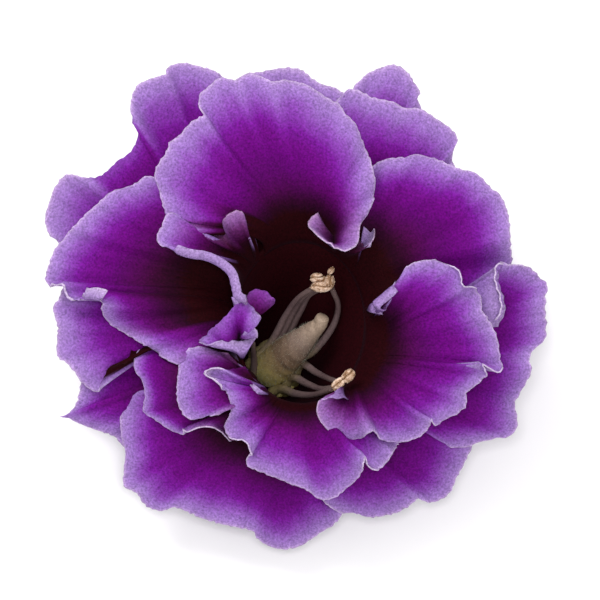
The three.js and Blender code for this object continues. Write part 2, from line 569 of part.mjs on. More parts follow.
// The ring lies on the tube's floor round the ovary, and the filaments rise from it.
function filamentsSolid() {
  const [inside, outside] = RING_RADII;
  const profile = [
    [inside, 0], [outside, 0], [outside, RING_HEIGHT], [inside, RING_HEIGHT], [inside, 0],
  ].map(([radius, height]) => new THREE.Vector2(radius, height));
  const place = TUBE_BASE.clone().addScaledVector(UP, GAP);
  const ring = new THREE.LatheGeometry(profile, 14).rotateX(Math.PI / 2 - FACE_TILT).translate(...place);
  const rods = FILAMENTS.map(({ foot, path }) => {
    const offset = (inside + outside) / 2 - TUBE_BASE_RADIUS;
    const start = tubePoint(THREE.MathUtils.degToRad(foot), 0, offset);
    start.addScaledVector(UP, GAP + RING_HEIGHT / 3);
    const above = start.clone().addScaledVector(UP, 3);
    const points = [[...start], [...above], ...path];
    return rodSolid(points, [FILAMENT_RADIUS, FILAMENT_RADIUS], FILAMENT_SIDES, 10);
  });
  return joined([solidOf(ring), ...rods]);
}

// ---- Materials and assembly ----------------------------------------------

const velvet = new THREE.MeshStandardMaterial({ color: 0x7a1f9e, roughness: 0.85, metalness: 0 });
const green = new THREE.MeshStandardMaterial({ color: 0x6f8f45, roughness: 0.75, metalness: 0 });
const olive = new THREE.MeshStandardMaterial({ color: 0xb3a35a, roughness: 0.6, metalness: 0 });
const pale = new THREE.MeshStandardMaterial({ color: 0xd8cfc4, roughness: 0.5, metalness: 0 });
const cream = new THREE.MeshStandardMaterial({ color: 0xe3d3a8, roughness: 0.8, metalness: 0 });

const face = new THREE.Group();
face.rotation.x = FACE_TILT;
face.position.z = FACE_HEIGHT;
face.add(
  meshOf('outer_corolla', joined([tubeSolid(OUTER), ...lobeSolids(OUTER_LOBES, OUTER)]), velvet),
  meshOf('inner_corolla', joined([
    tubeSolid(INNER), ...lobeSolids(MIDDLE_LOBES, MIDDLE), ...lobeSolids(INNER_LOBES, INNER),
  ]), velvet),
  meshOf('pistil', pistilSolid(), olive),
  meshOf('filaments', filamentsSolid(), pale),
  meshOf('anthers_upper', joined(UPPER_ANTHERS.map(ellipsoidSolid)), cream),
  meshOf('anther_lower', joined(LOWER_ANTHERS.map(ellipsoidSolid)), cream),
);

// The calyx stands on the table under the tube's foot.
face.updateMatrixWorld();
const foot = TUBE_BASE.clone().addScaledVector(UP, -(2 * FLOOR + GAP) - GAP).applyMatrix4(face.matrixWorld);
const calyx = meshOf('calyx', calyxSolid(foot.z), green);
calyx.position.set(foot.x, foot.y, 0);

// The origin is under the middle of the bloom's box, on the table.
const flower = new THREE.Group();
flower.name = 'gloxinia_flower';
flower.add(face, calyx);
const middle = new THREE.Box3().setFromObject(flower, true).getCenter(new THREE.Vector3());
flower.position.set(-middle.x, -middle.y, 0);

export default flower;
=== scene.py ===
# %% [markdown]
# # A double gloxinia bloom
# A gloxinia grows from a tuber and carries large bell-shaped blooms with petals like velvet.
# In a double bloom the single bell is crowded by extra whorls of lobes with ruffled edges.
# The cells below load the solid model, then lay finer petals, stamens and sepals over it.

# %% Load the solid model
import math

import bpy
import numpy as np
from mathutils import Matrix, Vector


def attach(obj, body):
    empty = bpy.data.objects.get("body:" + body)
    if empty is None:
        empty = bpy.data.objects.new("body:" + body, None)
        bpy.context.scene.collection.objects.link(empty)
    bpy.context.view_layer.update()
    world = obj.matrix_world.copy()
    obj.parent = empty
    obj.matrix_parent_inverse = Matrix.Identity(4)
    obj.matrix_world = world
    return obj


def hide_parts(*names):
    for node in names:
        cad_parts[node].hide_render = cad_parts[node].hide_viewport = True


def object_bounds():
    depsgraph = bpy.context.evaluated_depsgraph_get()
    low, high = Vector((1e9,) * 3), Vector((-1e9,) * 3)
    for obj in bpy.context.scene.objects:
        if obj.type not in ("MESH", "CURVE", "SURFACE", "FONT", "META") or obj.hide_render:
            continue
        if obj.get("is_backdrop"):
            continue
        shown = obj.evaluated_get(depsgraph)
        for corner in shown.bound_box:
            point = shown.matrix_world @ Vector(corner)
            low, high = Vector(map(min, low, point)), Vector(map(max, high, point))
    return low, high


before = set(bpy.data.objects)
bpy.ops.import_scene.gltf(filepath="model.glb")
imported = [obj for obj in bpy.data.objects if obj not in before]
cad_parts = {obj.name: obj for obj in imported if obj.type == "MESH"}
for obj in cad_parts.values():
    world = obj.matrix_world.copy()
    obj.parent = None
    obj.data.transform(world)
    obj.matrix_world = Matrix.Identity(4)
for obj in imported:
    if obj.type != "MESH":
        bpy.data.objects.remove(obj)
solid_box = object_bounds()
print("nodes:", ", ".join(sorted(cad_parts)))

# %% [markdown]
# ## The bloom's own frame
# Petals are easiest to describe face-on: X to the right, Y up the face and Z out of it, in
# millimetres. One function then leans the face, lifts it and turns millimetres into metres.
# Writing world coordinates by hand for every petal would hide how the bloom is laid out.

# %% The face's frame
MM = 0.001
FACE_TILT = math.radians(15)
FACE_HEIGHT = 36.0
FACE_SHIFT = (0.6, -3.02)  # from the middle of the whole box to the middle of the face
UP = np.array([0.0, math.sin(FACE_TILT), math.cos(FACE_TILT)])  # the world's up, in the face's frame
FULL_TURN = 2 * math.pi


def to_world(points):
    """Points of the face, in millimetres, as world points in metres."""
    x, y, z = np.asarray(points, float).reshape(-1, 3).T
    lean_y = y * math.cos(FACE_TILT) - z * math.sin(FACE_TILT) + FACE_SHIFT[1]
    lean_z = y * math.sin(FACE_TILT) + z * math.cos(FACE_TILT) + FACE_HEIGHT
    return np.stack([x + FACE_SHIFT[0], lean_y, lean_z], axis=1) * MM


def plain_metres(points):
    """Points that already stand in the world, in metres."""
    return points * MM


print("face centre:", to_world([0, 0, 0]).round(4))

# %% [markdown]
# ## Curves and ruffles
# A petal's edge is drawn as a curve through points, walked in equal steps so that facets stay
# even. Ruffles come from a sum of sines whose phases are drawn once from a fixed seed: that
# gives the same bloom on every run, where a free random draw would not.

# %% Curves
SPLINE_STEPS = 24  # between two corners of a curve, before it is cut into equal steps


def through(points, count):
    """A smooth curve through the points, as count + 1 points in equal steps."""
    p = np.asarray(points, float)
    p = np.vstack([2 * p[0] - p[1], p, 2 * p[-1] - p[-2]])
    pieces = []
    for a, b, c, d in zip(p[:-3], p[1:-2], p[2:-1], p[3:]):
        t1 = np.linalg.norm(b - a) ** 0.5
        t2 = t1 + np.linalg.norm(c - b) ** 0.5
        t3 = t2 + np.linalg.norm(d - c) ** 0.5
        t = np.linspace(t1, t2, SPLINE_STEPS, endpoint=False)[:, None]
        ab = (t1 - t) / t1 * a + t / t1 * b
        bc = (t2 - t) / (t2 - t1) * b + (t - t1) / (t2 - t1) * c
        cd = (t3 - t) / (t3 - t2) * c + (t - t2) / (t3 - t2) * d
        abc = (t2 - t) / t2 * ab + t / t2 * bc
        bcd = (t3 - t) / (t3 - t1) * bc + (t - t1) / (t3 - t1) * cd
        pieces.append((t2 - t) / (t2 - t1) * abc + (t - t1) / (t2 - t1) * bcd)
    dense = np.vstack(pieces + [p[-2:-1]])
    walked = np.concatenate([[0], np.cumsum(step_lengths(dense))])
    steps = np.linspace(0, walked[-1], count + 1)
    return np.stack([np.interp(steps, walked, dense[:, axis]) for axis in range(3)], axis=1)


def step_lengths(points):
    return np.linalg.norm(np.diff(points, axis=0), axis=-1)


def length_of(points):
    return float(step_lengths(points).sum())


def unit(vectors):
    return vectors / np.maximum(np.linalg.norm(vectors, axis=-1, keepdims=True), 1e-9)


def calmed(points, reach):
    """The points averaged with their neighbours, ends kept."""
    last = len(points) - 1
    sums = np.vstack([np.zeros((1, points.shape[1])), np.cumsum(points, axis=0)])
    index = np.arange(len(points))
    width = np.minimum(np.minimum(index, last - index), reach)
    return (sums[index + width + 1] - sums[index - width]) / (2 * width + 1)[:, None]


def smoothstep(value, low, high):
    share = np.clip((value - low) / (high - low), 0, 1)
    return share * share * (3 - 2 * share)


def mixed(one, other, weight):
    return one * (1 - weight) + other * weight


def ripple(distance, wavelength, draw, layers=3):
    """A wave between about -1 and 1 along a distance, uneven as a ruffle is.

    Each layer is 0.7 to 1.3 times as long as the wavelength and weaker than the one before it.
    """
    total = np.zeros_like(distance)
    for layer in range(layers):
        stretch = wavelength * (0.7 + 0.6 * draw.random())
        wave = np.sin(FULL_TURN * distance / stretch + FULL_TURN * draw.random())
        total += wave / (1 + 0.5 * layer)
    return total / 1.8


def ripples(distance, sizes, draw):
    """Several waves together, from (wavelength, height) pairs."""
    return sum(height * ripple(distance, wavelength, draw) for wavelength, height in sizes)


quarter_circle = through([(1, 0, 0), (0.707, 0.707, 0), (0, 1, 0)], 50)
print("a quarter circle of radius 1 is", round(length_of(quarter_circle), 3), "long")

# %% [markdown]
# ## Meshes from grids
# Petals, sepals, tubes and rods are all grids of points. A grid made into one mesh by a few
# lines of array code is quick, exact and the same on every run. A part here is a small
# dictionary: its points, its faces, and numbers that its material reads at each point.

# %% Grids and parts
def ring_faces(first, rings, sides):
    """Faces between closed rings of points that follow each other."""
    faces = []
    for ring in range(rings - 1):
        low, high = first + ring * sides, first + (ring + 1) * sides
        faces += [(low + side, low + (side + 1) % sides, high + (side + 1) % sides, high + side)
                  for side in range(sides)]
    return faces


def capped_rings(rings):
    """Rings of points joined and closed at both ends, as points and faces."""
    sides = len(rings[0])
    points = np.vstack([rings[0].mean(axis=0), *rings, rings[-1].mean(axis=0)])
    last = 1 + (len(rings) - 1) * sides
    faces = [(0, 1 + (side + 1) % sides, 1 + side) for side in range(sides)]
    faces += ring_faces(1, len(rings), sides)
    faces += [(last + side, last + (side + 1) % sides, len(points) - 1) for side in range(sides)]
    return points, faces


def grid_normals(grid):
    return unit(np.cross(np.gradient(grid, axis=1), np.gradient(grid, axis=0)))


def blade_part(grid, thickness, **numbers):
    """A sheet thickened alike on both faces, so that the two can't cross."""
    rows, columns = grid.shape[:2]
    offset = grid_normals(grid) * thickness[..., None] / 2
    points = np.concatenate([(grid + offset).reshape(-1, 3), (grid - offset).reshape(-1, 3)])
    total = rows * columns
    corner = np.arange(total).reshape(rows, columns)
    a, b, c, d = corner[:-1, :-1], corner[:-1, 1:], corner[1:, 1:], corner[1:, :-1]
    upper = np.stack([a, b, c, d], axis=-1).reshape(-1, 4)
    lower = np.stack([a, d, c, b], axis=-1).reshape(-1, 4) + total
    border = np.concatenate([corner[0, :-1], corner[:-1, -1], corner[-1, :0:-1], corner[:0:-1, 0]])
    after = np.roll(border, -1)
    sides = np.stack([border, border + total, after + total, after], axis=-1)
    doubled = {key: np.tile(np.broadcast_to(values, (rows, columns)).reshape(-1), 2)
               for key, values in numbers.items()}
    return doubled | {"points": points, "faces": np.concatenate([upper, lower, sides]).tolist(),
                      "under": np.repeat([0.0, 1.0], total)}


def joined_parts(parts):
    """Several parts as one."""
    start = 0
    faces = []
    for part in parts:
        faces += [tuple(int(index) + start for index in face) for face in part["faces"]]
        start += len(part["points"])
    whole = {key: np.concatenate([part[key] for part in parts]) for key in parts[0] if key != "faces"}
    return whole | {"faces": faces}


# %% From a part to a finished piece
def placed(name, data):
    """An object of the scene that holds the data."""
    item = bpy.data.objects.new(name, data)
    bpy.context.scene.collection.objects.link(item)
    return item


def mesh_piece(name, part, material, place=to_world):
    """An object from a part, with a float attribute for each of the part's numbers."""
    mesh = bpy.data.meshes.new(name)
    mesh.from_pydata(place(part["points"]).tolist(), [], [tuple(face) for face in part["faces"]])
    for label, values in part.items():
        if label not in ("points", "faces"):
            numbers = np.asarray(values, np.float32)
            mesh.attributes.new(label, "FLOAT", "POINT").data.foreach_set("value", numbers)
    mesh.shade_smooth()
    mesh.materials.append(material)
    return placed(name, mesh)


def finish_piece(piece, slot, *nodes):
    """Ties a finished piece to the solid model and prints what it holds."""
    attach(piece, "root")
    if nodes:
        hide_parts(*nodes)
    triangles = sum(len(face.vertices) - 2 for face in piece.data.polygons)
    size = [round(side / MM, 1) for side in piece.dimensions]
    print(f"{piece.name}: {triangles} triangles, {size} mm")


# %% [markdown]
# ## Nodes
# Every colour is an sRGB hex value, as a paint card gives it, and one function turns it to the
# linear light that a shader works in. One more adds a node with its settings and links, for
# materials and for Geometry Nodes alike, so a tree reads as a list of steps. All patterns but
# the petals' follow the place on the bloom in metres, so their scales are 1 over a real size.

# %% Colours and nodes
def linear(code):
    """A hex colour such as 8a31ab as linear red, green, blue and alpha."""
    channels = [int(code[start:start + 2], 16) / 255 for start in (0, 2, 4)]
    return tuple(c / 12.92 if c <= 0.04045 else ((c + 0.055) / 1.055) ** 2.4 for c in channels) + (1.0,)


def add(tree, kind, *values, out=None, stops=(), **settings):
    """Adds a node and gives back one of its outputs, the first unless out names it.

    values fill its inputs in order, settings are its properties or its inputs by name, and
    stops are the (place, hex) pairs of a colour ramp.
    """
    node = tree.nodes.new(kind)
    inputs = []
    for key, value in settings.items():
        if hasattr(node, key):
            setattr(node, key, value)
        else:
            inputs.append((node.inputs[key.replace("_", " ")], value))
    inputs += zip([socket for socket in node.inputs if socket.enabled], values)
    for socket, value in inputs:
        if isinstance(value, bpy.types.NodeSocket):
            tree.links.new(value, socket)
        elif value is not None:
            socket.default_value = value
    for index, (place, code) in enumerate(stops):
        if index >= len(node.color_ramp.elements):
            node.color_ramp.elements.new(place)
        node.color_ramp.elements[index].position = place
        node.color_ramp.elements[index].color = linear(code)
    if out is not None:
        return node.outputs[out]
    return next((socket for socket in node.outputs if socket.enabled), None)


def new_material(name, **finish):
    """A material with its finish set on the shader, its node tree, and the place on the bloom."""
    material = bpy.data.materials.new(name)
    material.use_nodes = True
    tree = material.node_tree
    for key, value in finish.items():
        tree.nodes["Principled BSDF"].inputs[key.replace("_", " ")].default_value = value
    return material, tree, add(tree, "ShaderNodeTexCoord", out="Object")


def coated(material, colour, relief=None):
    """The material with a colour, and a relief where it has one, linked to its shader."""
    inputs = material.node_tree.nodes["Principled BSDF"].inputs
    material.node_tree.links.new(colour, inputs["Base Color"])
    if relief:
        material.node_tree.links.new(relief, inputs["Normal"])
    return material


print("hex 808080 in linear light:", round(linear("808080")[0], 3))

# %% [markdown]
# ## Velvet petal
# A gloxinia petal is thin living tissue covered in tiny rounded cells, papillae, that scatter
# light back at a grazing angle: that is the velvet. The pigment is strongest near the throat,
# where its near-black maroon is partly the petal's own and partly painted shade of the deep
# throat. It runs out toward the edge, which ends in a fine whitish line, partly the edge's own
# paleness and partly painted highlight. The colour therefore follows two distances that each
# petal carries, from its edge and from the throat, so that it bends with the ruffles. The
# papillae are about 0.1 mm across and are drawn coarser, at 0.4 mm, to show.

# %% Petal colours
MARGIN_SPAN = 20.0  # mm from the edge over which the violet deepens
# The palest first stops draw the fine whitish line at the very edge: partly the edge's own paleness, partly
# painted highlight.
MARGIN_STOPS = [
    (0.0, "dcc2ec"), (0.012, "c4a2df"), (0.035, "ae88d1"), (0.1, "a275c9"), (0.16, "975bbd"),
    (0.22, "8c42b1"), (0.31, "7d1c9c"), (0.41, "720d86"), (0.52, "6b047c"), (0.66, "5e016a"),
    (1.0, "50014c"),
]
THROAT_SPAN = 16.0  # mm from the tube over which the maroon gives way to violet
# The throat's maroon: partly the petal's own colour, partly painted shade of the deep throat.
THROAT_AND_SHADE_STOPS = [
    (0.0, "1a0508"), (0.25, "3a1418"), (0.44, "692a37"), (0.62, "aa7a89"), (0.81, "eed8df"),
    (1.0, "ffffff"),
]
UNDERSIDE_STOPS = [
    (0.0, "e2cbf0"), (0.03, "cbaee2"), (0.12, "b08fce"), (0.35, "8f68b4"), (0.7, "7d549b"),
    (1.0, "8d7390"),
]
DARKEST = "2c040a"  # the maroon at the bottom of the throat
CLOUD = 5.56  # mm across the drifts of the pigment's border
CLOUD_DRIFT = 3.0  # mm
STREAKS = 0.9  # veins to a millimetre along the edge
STREAK_DRAW = 0.1  # how much slower they change along a vein
STREAK_DRIFT = 1.4  # mm that the border wanders along a vein
STREAK_DEPTH = 3.0  # mm that the maroon runs out along a vein
PAPILLA = 0.4  # mm

# %% Petal velvet
def petal_velvet():
    """Soft and almost without shine, a little brighter where it turns away."""
    finish = {"Roughness": 0.75, "IOR": 1.4, "Specular IOR Level": 0.06, "Sheen Weight": 0.02,
              "Sheen Roughness": 0.45, "Sheen Tint": linear("d09cc0")}
    material, tree, place = new_material("petal_velvet", **finish)
    margin, throat, under, ray = (add(tree, "ShaderNodeAttribute", attribute_name=label, out="Fac")
                                  for label in ("margin", "throat", "under", "ray"))

    # The pigment's border wanders by a millimetre or so, a little more along the veins.
    cloud = add(tree, "ShaderNodeTexNoise", place, 1 / (CLOUD * MM), 3.0)
    squeezed = add(tree, "ShaderNodeMath", throat, STREAK_DRAW, operation="MULTIPLY")
    along = add(tree, "ShaderNodeCombineXYZ", ray, squeezed)
    streak = add(tree, "ShaderNodeTexNoise", along, STREAKS, 4.0, 0.6)
    drift = add(tree, "ShaderNodeMath", cloud, CLOUD_DRIFT, -CLOUD_DRIFT / 2, operation="MULTIPLY_ADD")
    wander = add(tree, "ShaderNodeMath", streak, STREAK_DRIFT, drift, operation="MULTIPLY_ADD")
    centred = add(tree, "ShaderNodeMath", wander, STREAK_DRIFT / 2, operation="SUBTRACT")
    fade_in = add(tree, "ShaderNodeMath", margin, 0.3, operation="MULTIPLY", use_clamp=True)
    wandered = add(tree, "ShaderNodeMath", centred, fade_in, margin, operation="MULTIPLY_ADD")
    inward = add(tree, "ShaderNodeMath", wandered, MARGIN_SPAN, operation="DIVIDE", use_clamp=True)
    pigment = add(tree, "ShaderNodeValToRGB", inward, stops=MARGIN_STOPS)

    # Near the throat the violet deepens to a near-black maroon: partly its own, partly painted shade.
    streaked = add(tree, "ShaderNodeMath", streak, STREAK_DEPTH, throat, operation="MULTIPLY_ADD")
    depth = add(tree, "ShaderNodeMath", streaked, STREAK_DEPTH / 2, operation="SUBTRACT")
    outward = add(tree, "ShaderNodeMath", depth, THROAT_SPAN, operation="DIVIDE", use_clamp=True)
    throat_and_shade = add(tree, "ShaderNodeValToRGB", outward, stops=THROAT_AND_SHADE_STOPS)
    tinted = add(tree, "ShaderNodeMix", 1.0, pigment, throat_and_shade, data_type="RGBA", blend_type="MULTIPLY")
    upper = add(tree, "ShaderNodeMix", 1.0, tinted, linear(DARKEST), data_type="RGBA", blend_type="LIGHTEN")

    # The underside is paler and duller.
    below = add(tree, "ShaderNodeValToRGB", inward, stops=UNDERSIDE_STOPS)
    colour = add(tree, "ShaderNodeMix", under, upper, below, data_type="RGBA")

    # Papillae: a fine mottling in the colour and a pebbled surface.
    cells = add(tree, "ShaderNodeTexVoronoi", place, 1 / (PAPILLA * MM))
    grain = add(tree, "ShaderNodeTexNoise", place, 1 / (PAPILLA * MM), 2.0, 0.6)
    lit = add(tree, "ShaderNodeMath", grain, 1.0, 0.2, operation="MULTIPLY_ADD")
    mottle = add(tree, "ShaderNodeMath", cells, -0.15, lit, operation="MULTIPLY_ADD")
    mottled = add(tree, "ShaderNodeVectorMath", colour, mottle, operation="SCALE")
    pebbles = add(tree, "ShaderNodeBump", Strength=0.6, Distance=0.08 * MM, Height=grain)
    veined = add(tree, "ShaderNodeBump", Strength=0.25, Distance=0.2 * MM, Height=streak, Normal=pebbles)
    return coated(material, mottled, veined)


velvet = petal_velvet()
print("velvet nodes:", len(velvet.node_tree.nodes))

# %% [markdown]
# ## The tube
# The petals grow out of a short tube that widens like a bell. Two tubes stand one in the
# other: the outer one carries the broad outer lobes, the inner one all the others. A point of
# the tube has an angle, a level from 0 at the foot to 1 at the mouth, and an offset outwards.
# The mouth leans with the face while the foot stands level, so no ready-made cone would fit.

# %% The tube's shape
TUBE_BASE = np.array([-5.0, -12.5, -24.0])
TUBE_MOUTH = np.array([2.0, -0.7, -2.0])
TUBE_BASE_RADIUS = 6.0
TUBE_MOUTH_RADII = (13.0, 16.5)
TUBE_STRAIGHT = 12.0
TUBE_WALL = 1.0
TUBE_MARGIN = 18.0  # mm from an edge, for the colour of the whole tube
# The tube's inside takes the darkest throat colours: partly its own maroon, partly painted shade.
TUBE_THROAT = -3.0  # mm; its inside is darker than where the petals start, at 0
VEIN_GIRTH = 8.0  # mm, the radius at which the tube's veins are spaced as the petals' are


def tube_point(angle, level, offset):
    """Points on the tube at an angle and a level, so far outside its surface."""
    angle, level, offset = np.broadcast_arrays(*(np.asarray(v, float) for v in (angle, level, offset)))
    share = level[..., None]
    bend = TUBE_BASE + UP * TUBE_STRAIGHT
    axis = (1 - share) ** 2 * TUBE_BASE + 2 * share * (1 - share) * bend + share ** 2 * TUBE_MOUTH
    turn = FACE_TILT * (1 - level)
    across = TUBE_BASE_RADIUS + (TUBE_MOUTH_RADII[0] - TUBE_BASE_RADIUS) * level + offset
    along = TUBE_BASE_RADIUS + (TUBE_MOUTH_RADII[1] - TUBE_BASE_RADIUS) * level + offset
    reach = np.stack([across * np.cos(angle), along * np.sin(angle) * np.cos(turn),
                      -along * np.sin(angle) * np.sin(turn)], axis=-1)
    return axis + reach


def tube_part(offset, top, sink, floor, sides=120, rows=44):
    """A cup with a thin lip: up the outside, over the lip, down the inside, closed below."""
    angles = np.linspace(0, FULL_TURN, sides, endpoint=False)
    levels = np.linspace(0, top, rows)
    outside = [tube_point(angles, level, offset + TUBE_WALL / 2) for level in levels]
    outside[0] = outside[0] - UP * sink
    inside = []
    for level in levels[::-1]:
        half_wall = TUBE_WALL / 2 * min(1.0, 0.15 + 12 * (top - level))  # thin at the lip
        inside.append(tube_point(angles, level, offset - half_wall))
    inside[-1] = inside[-1] - UP * (sink - floor)
    points, faces = capped_rings(outside + inside)
    counts = [1 + (rows - 2) * sides, (rows + 2) * sides + 1]  # the lip counts as inside
    climb = np.repeat(levels[:-2] * -TUBE_BASE[2], sides)
    return {"points": points, "faces": faces, "margin": np.full(len(points), TUBE_MARGIN),
            "throat": np.concatenate([[0], climb, np.full(counts[1], TUBE_THROAT)]),
            "under": np.repeat([1.0, 0.0], counts),
            "ray": np.concatenate([[0], np.tile(angles * VEIN_GIRTH, 2 * rows), [0]])}


print("tube mouth:", tube_point(np.radians([0, 90, 180, 270]), 1.0, 0.0).round(1).tolist())

# %% [markdown]
# ## The petals
# Each lobe leaves an arc of the tube, climbs along its wall, arches over and ends in a ruffled
# edge. The edge is a curve through listed face-on points, because no two lobes of a double
# bloom are alike; everything between the tube and that edge follows one rule, a cubic arch per
# column. Sculpting 20 lobes one by one would take longer and join the tube less well.
#
# A lobe says where it leaves the tube (`arc`, in degrees, at even steps of its edge) and how
# its edge runs (`rim`: x, y and height in millimetres). The rest is there where it is needed:
# `curls` rolls a stretch of the edge (first point, last point, degrees, length) up and over, so
# that the paler underside shows. `shaded` (first point, last point, mm, mm) paints shade into
# hollows and folds: it colours the stretch as if it lay that much deeper in the throat and that
# much farther from the edge, and with negative numbers lighter. Below 1, `margin_rate` widens the
# pale margin and `throat_rate` the dark throat, partly painted shade. `calm` is the share of the
# edge over which ruffles are averaged away to find the petal's broad shape.

# %% The outer lobes
OUTER_LOBES = {
    "outer_upper_left": {"arc": (184, 112), "rim": [
        (-20.7, 2.3, -7), (-32.4, 6.7, -8), (-42.8, 11, -9), (-45.5, 13.3, -10), (-46.3, 15.7, -11),
        (-45.5, 18.9, -11), (-44.6, 21.4, -10), (-42.7, 23.4, -9), (-39.6, 23.2, -8),
        (-37.1, 23.2, -8), (-35.1, 24.3, -9), (-33.1, 26.1, -9), (-31.3, 27.2, -9), (-29.9, 29.2, -8),
        (-29.5, 31.1, -8), (-30.2, 33.1, -8), (-30.4, 35.8, -9), (-30.4, 38, -10), (-29.3, 40, -10),
        (-27.4, 41, -10), (-24.1, 42.1, -10), (-23.6, 43.4, -11), (-21.4, 44.1, -11),
        (-18.5, 43.4, -11), (-16.2, 42.7, -10), (-14, 41.4, -9), (-11.5, 36.9, -8), (-8.6, 22.5, -7),
    ], "margin_rate": 0.65, "shaded": [(9, 15, 0, 4)]},
    "outer_top": {"arc": (115, 79), "rim": [
        (-11.2, 22.5, -7), (-13.3, 33.3, -8), (-13.3, 39.4, -9), (-11.5, 41, -10), (-9.7, 42.1, -10),
        (-7.6, 42.3, -11), (-5, 42.8, -11), (-1.8, 43.2, -12), (0.4, 42.7, -12), (2.2, 41.2, -11),
        (4, 40.1, -10), (6.5, 39.4, -10), (8.6, 37.3, -9), (9, 29.7, -8), (6.8, 20.7, -7),
    ], "margin_rate": 0.6},
    "outer_top_right_back": {"arc": (74, 44), "rim": [
        (6.5, 22.5, -9), (8.3, 33.3, -11), (9.5, 38.5, -12), (11.2, 40.9, -12), (13.1, 42.5, -13),
        (14.9, 43.2, -13), (16.9, 43.7, -13), (18.5, 43.2, -13), (20, 41.8, -13), (21.1, 40, -13),
        (21.6, 37.8, -12), (22.1, 35.5, -12), (22.3, 29.7, -11), (17.1, 18.9, -9),
    ], "margin_rate": 0.6},
    "outer_top_right": {"arc": (82, 18), "rim": [
        (4, 20.7, -6), (5, 31.5, -7), (7.2, 37.4, -8), (8.8, 39.1, -8), (10.6, 38.9, -8),
        (12.8, 37.8, -8), (14.9, 37.3, -8), (16.9, 36.9, -8), (18.9, 35.8, -8), (21.8, 35.6, -9),
        (23.9, 34.4, -9), (25.7, 33.3, -9), (27.5, 32, -9), (28.6, 30.1, -10), (27.9, 28.3, -10),
        (27.7, 26.5, -10), (28.4, 23.9, -9), (27, 18, -8), (18.9, 9.9, -7),
    ], "margin_rate": 0.75},
    "outer_right": {"arc": (10, -47), "rim": [
        (21.6, -4.5, -6), (27.9, -6.3, -5), (32.8, -5.2, -3), (34.9, -3.1, -2), (36.2, -0.5, -1),
        (35.8, 2, -1), (35.1, 4.3, -1), (35.1, 6.5, -1), (36, 7.7, -2), (37.4, 7.2, -3),
        (39.6, 7.2, -5), (41.6, 6.7, -6), (43.4, 5.2, -7), (45, 3.6, -8), (44.5, 1.4, -8),
        (44.5, -1.3, -8), (44.8, -3.8, -9), (44.5, -6.1, -9), (42.7, -7.7, -8), (41.6, -9.5, -7),
        (41.9, -11.7, -7), (41.2, -14, -8), (40, -16, -8), (38.9, -17.8, -7), (39.4, -20.3, -8),
        (39.2, -22.9, -9), (37.8, -23.9, -9), (35.3, -24.3, -9), (32.9, -24.8, -9), (30.2, -25.7, -9),
        (27.9, -25.6, -9), (25.6, -24.5, -8), (21.6, -21.6, -7), (14, -17.5, -6),
    ], "curls": [(3, 8, 120, 1.8)]},
    "outer_bottom_right": {"arc": (-44, -89), "rim": [
        (17.1, -15.7, -8), (25.2, -19.8, -11), (31.3, -25.4, -12), (30.6, -27.5, -12),
        (29.7, -29.5, -13), (28.4, -31.7, -13), (27.7, -33.7, -13), (26.5, -35.1, -14),
        (24.7, -35.8, -14), (22.9, -35.6, -13), (21.4, -35.3, -12), (20, -36.5, -12), (18, -37.6, -12),
        (15.3, -38.5, -13), (12.6, -38.7, -13), (9.9, -38.3, -13), (7.9, -38, -12), (6.1, -37.1, -11),
        (4, -35.1, -10), (2.2, -29.7, -9), (3.2, -20.7, -7),
    ]},
    "outer_bottom_left": {"arc": (-86, -144), "rim": [
        (4.3, -20.7, -7), (6.8, -31.5, -11), (7.7, -37.8, -13), (6.3, -40, -13), (3.6, -41.6, -13),
        (0.9, -43.6, -14), (-1.8, -44.5, -15), (-4.5, -44.5, -15), (-6.8, -43.2, -14),
        (-8.6, -41.4, -13), (-11.2, -40.5, -12), (-14.8, -39.8, -12), (-18, -38.9, -12),
        (-20.7, -37.6, -12), (-23, -36.9, -11), (-25.9, -37.4, -12), (-28.3, -36.5, -12),
        (-29.9, -34.2, -11), (-32, -32.9, -11), (-32, -29.7, -10), (-32, -26.5, -10),
        (-32.6, -23.8, -9), (-32.8, -20.7, -9), (-32.4, -18.2, -8), (-31.3, -16.4, -7),
        (-29.2, -15.5, -6), (-24.3, -15.7, -6), (-15.3, -12.6, -6),
    ]},
    "outer_left": {"arc": (-141, -179), "rim": [
        (-13.5, -10.3, -7), (-22.5, -18, -10), (-29.7, -24.3, -11), (-32.2, -25.7, -12),
        (-33.8, -24.1, -12), (-36.4, -23, -12), (-39.6, -22, -11), (-41.8, -20.9, -10),
        (-43.6, -20.5, -9), (-42.1, -19.6, -10), (-40.9, -18.2, -10), (-40.1, -16.2, -10),
        (-39.6, -13.5, -10), (-35.1, -7.2, -9), (-20.7, -0.9, -7),
    ]},
}
print("outer lobes:", ", ".join(OUTER_LOBES))

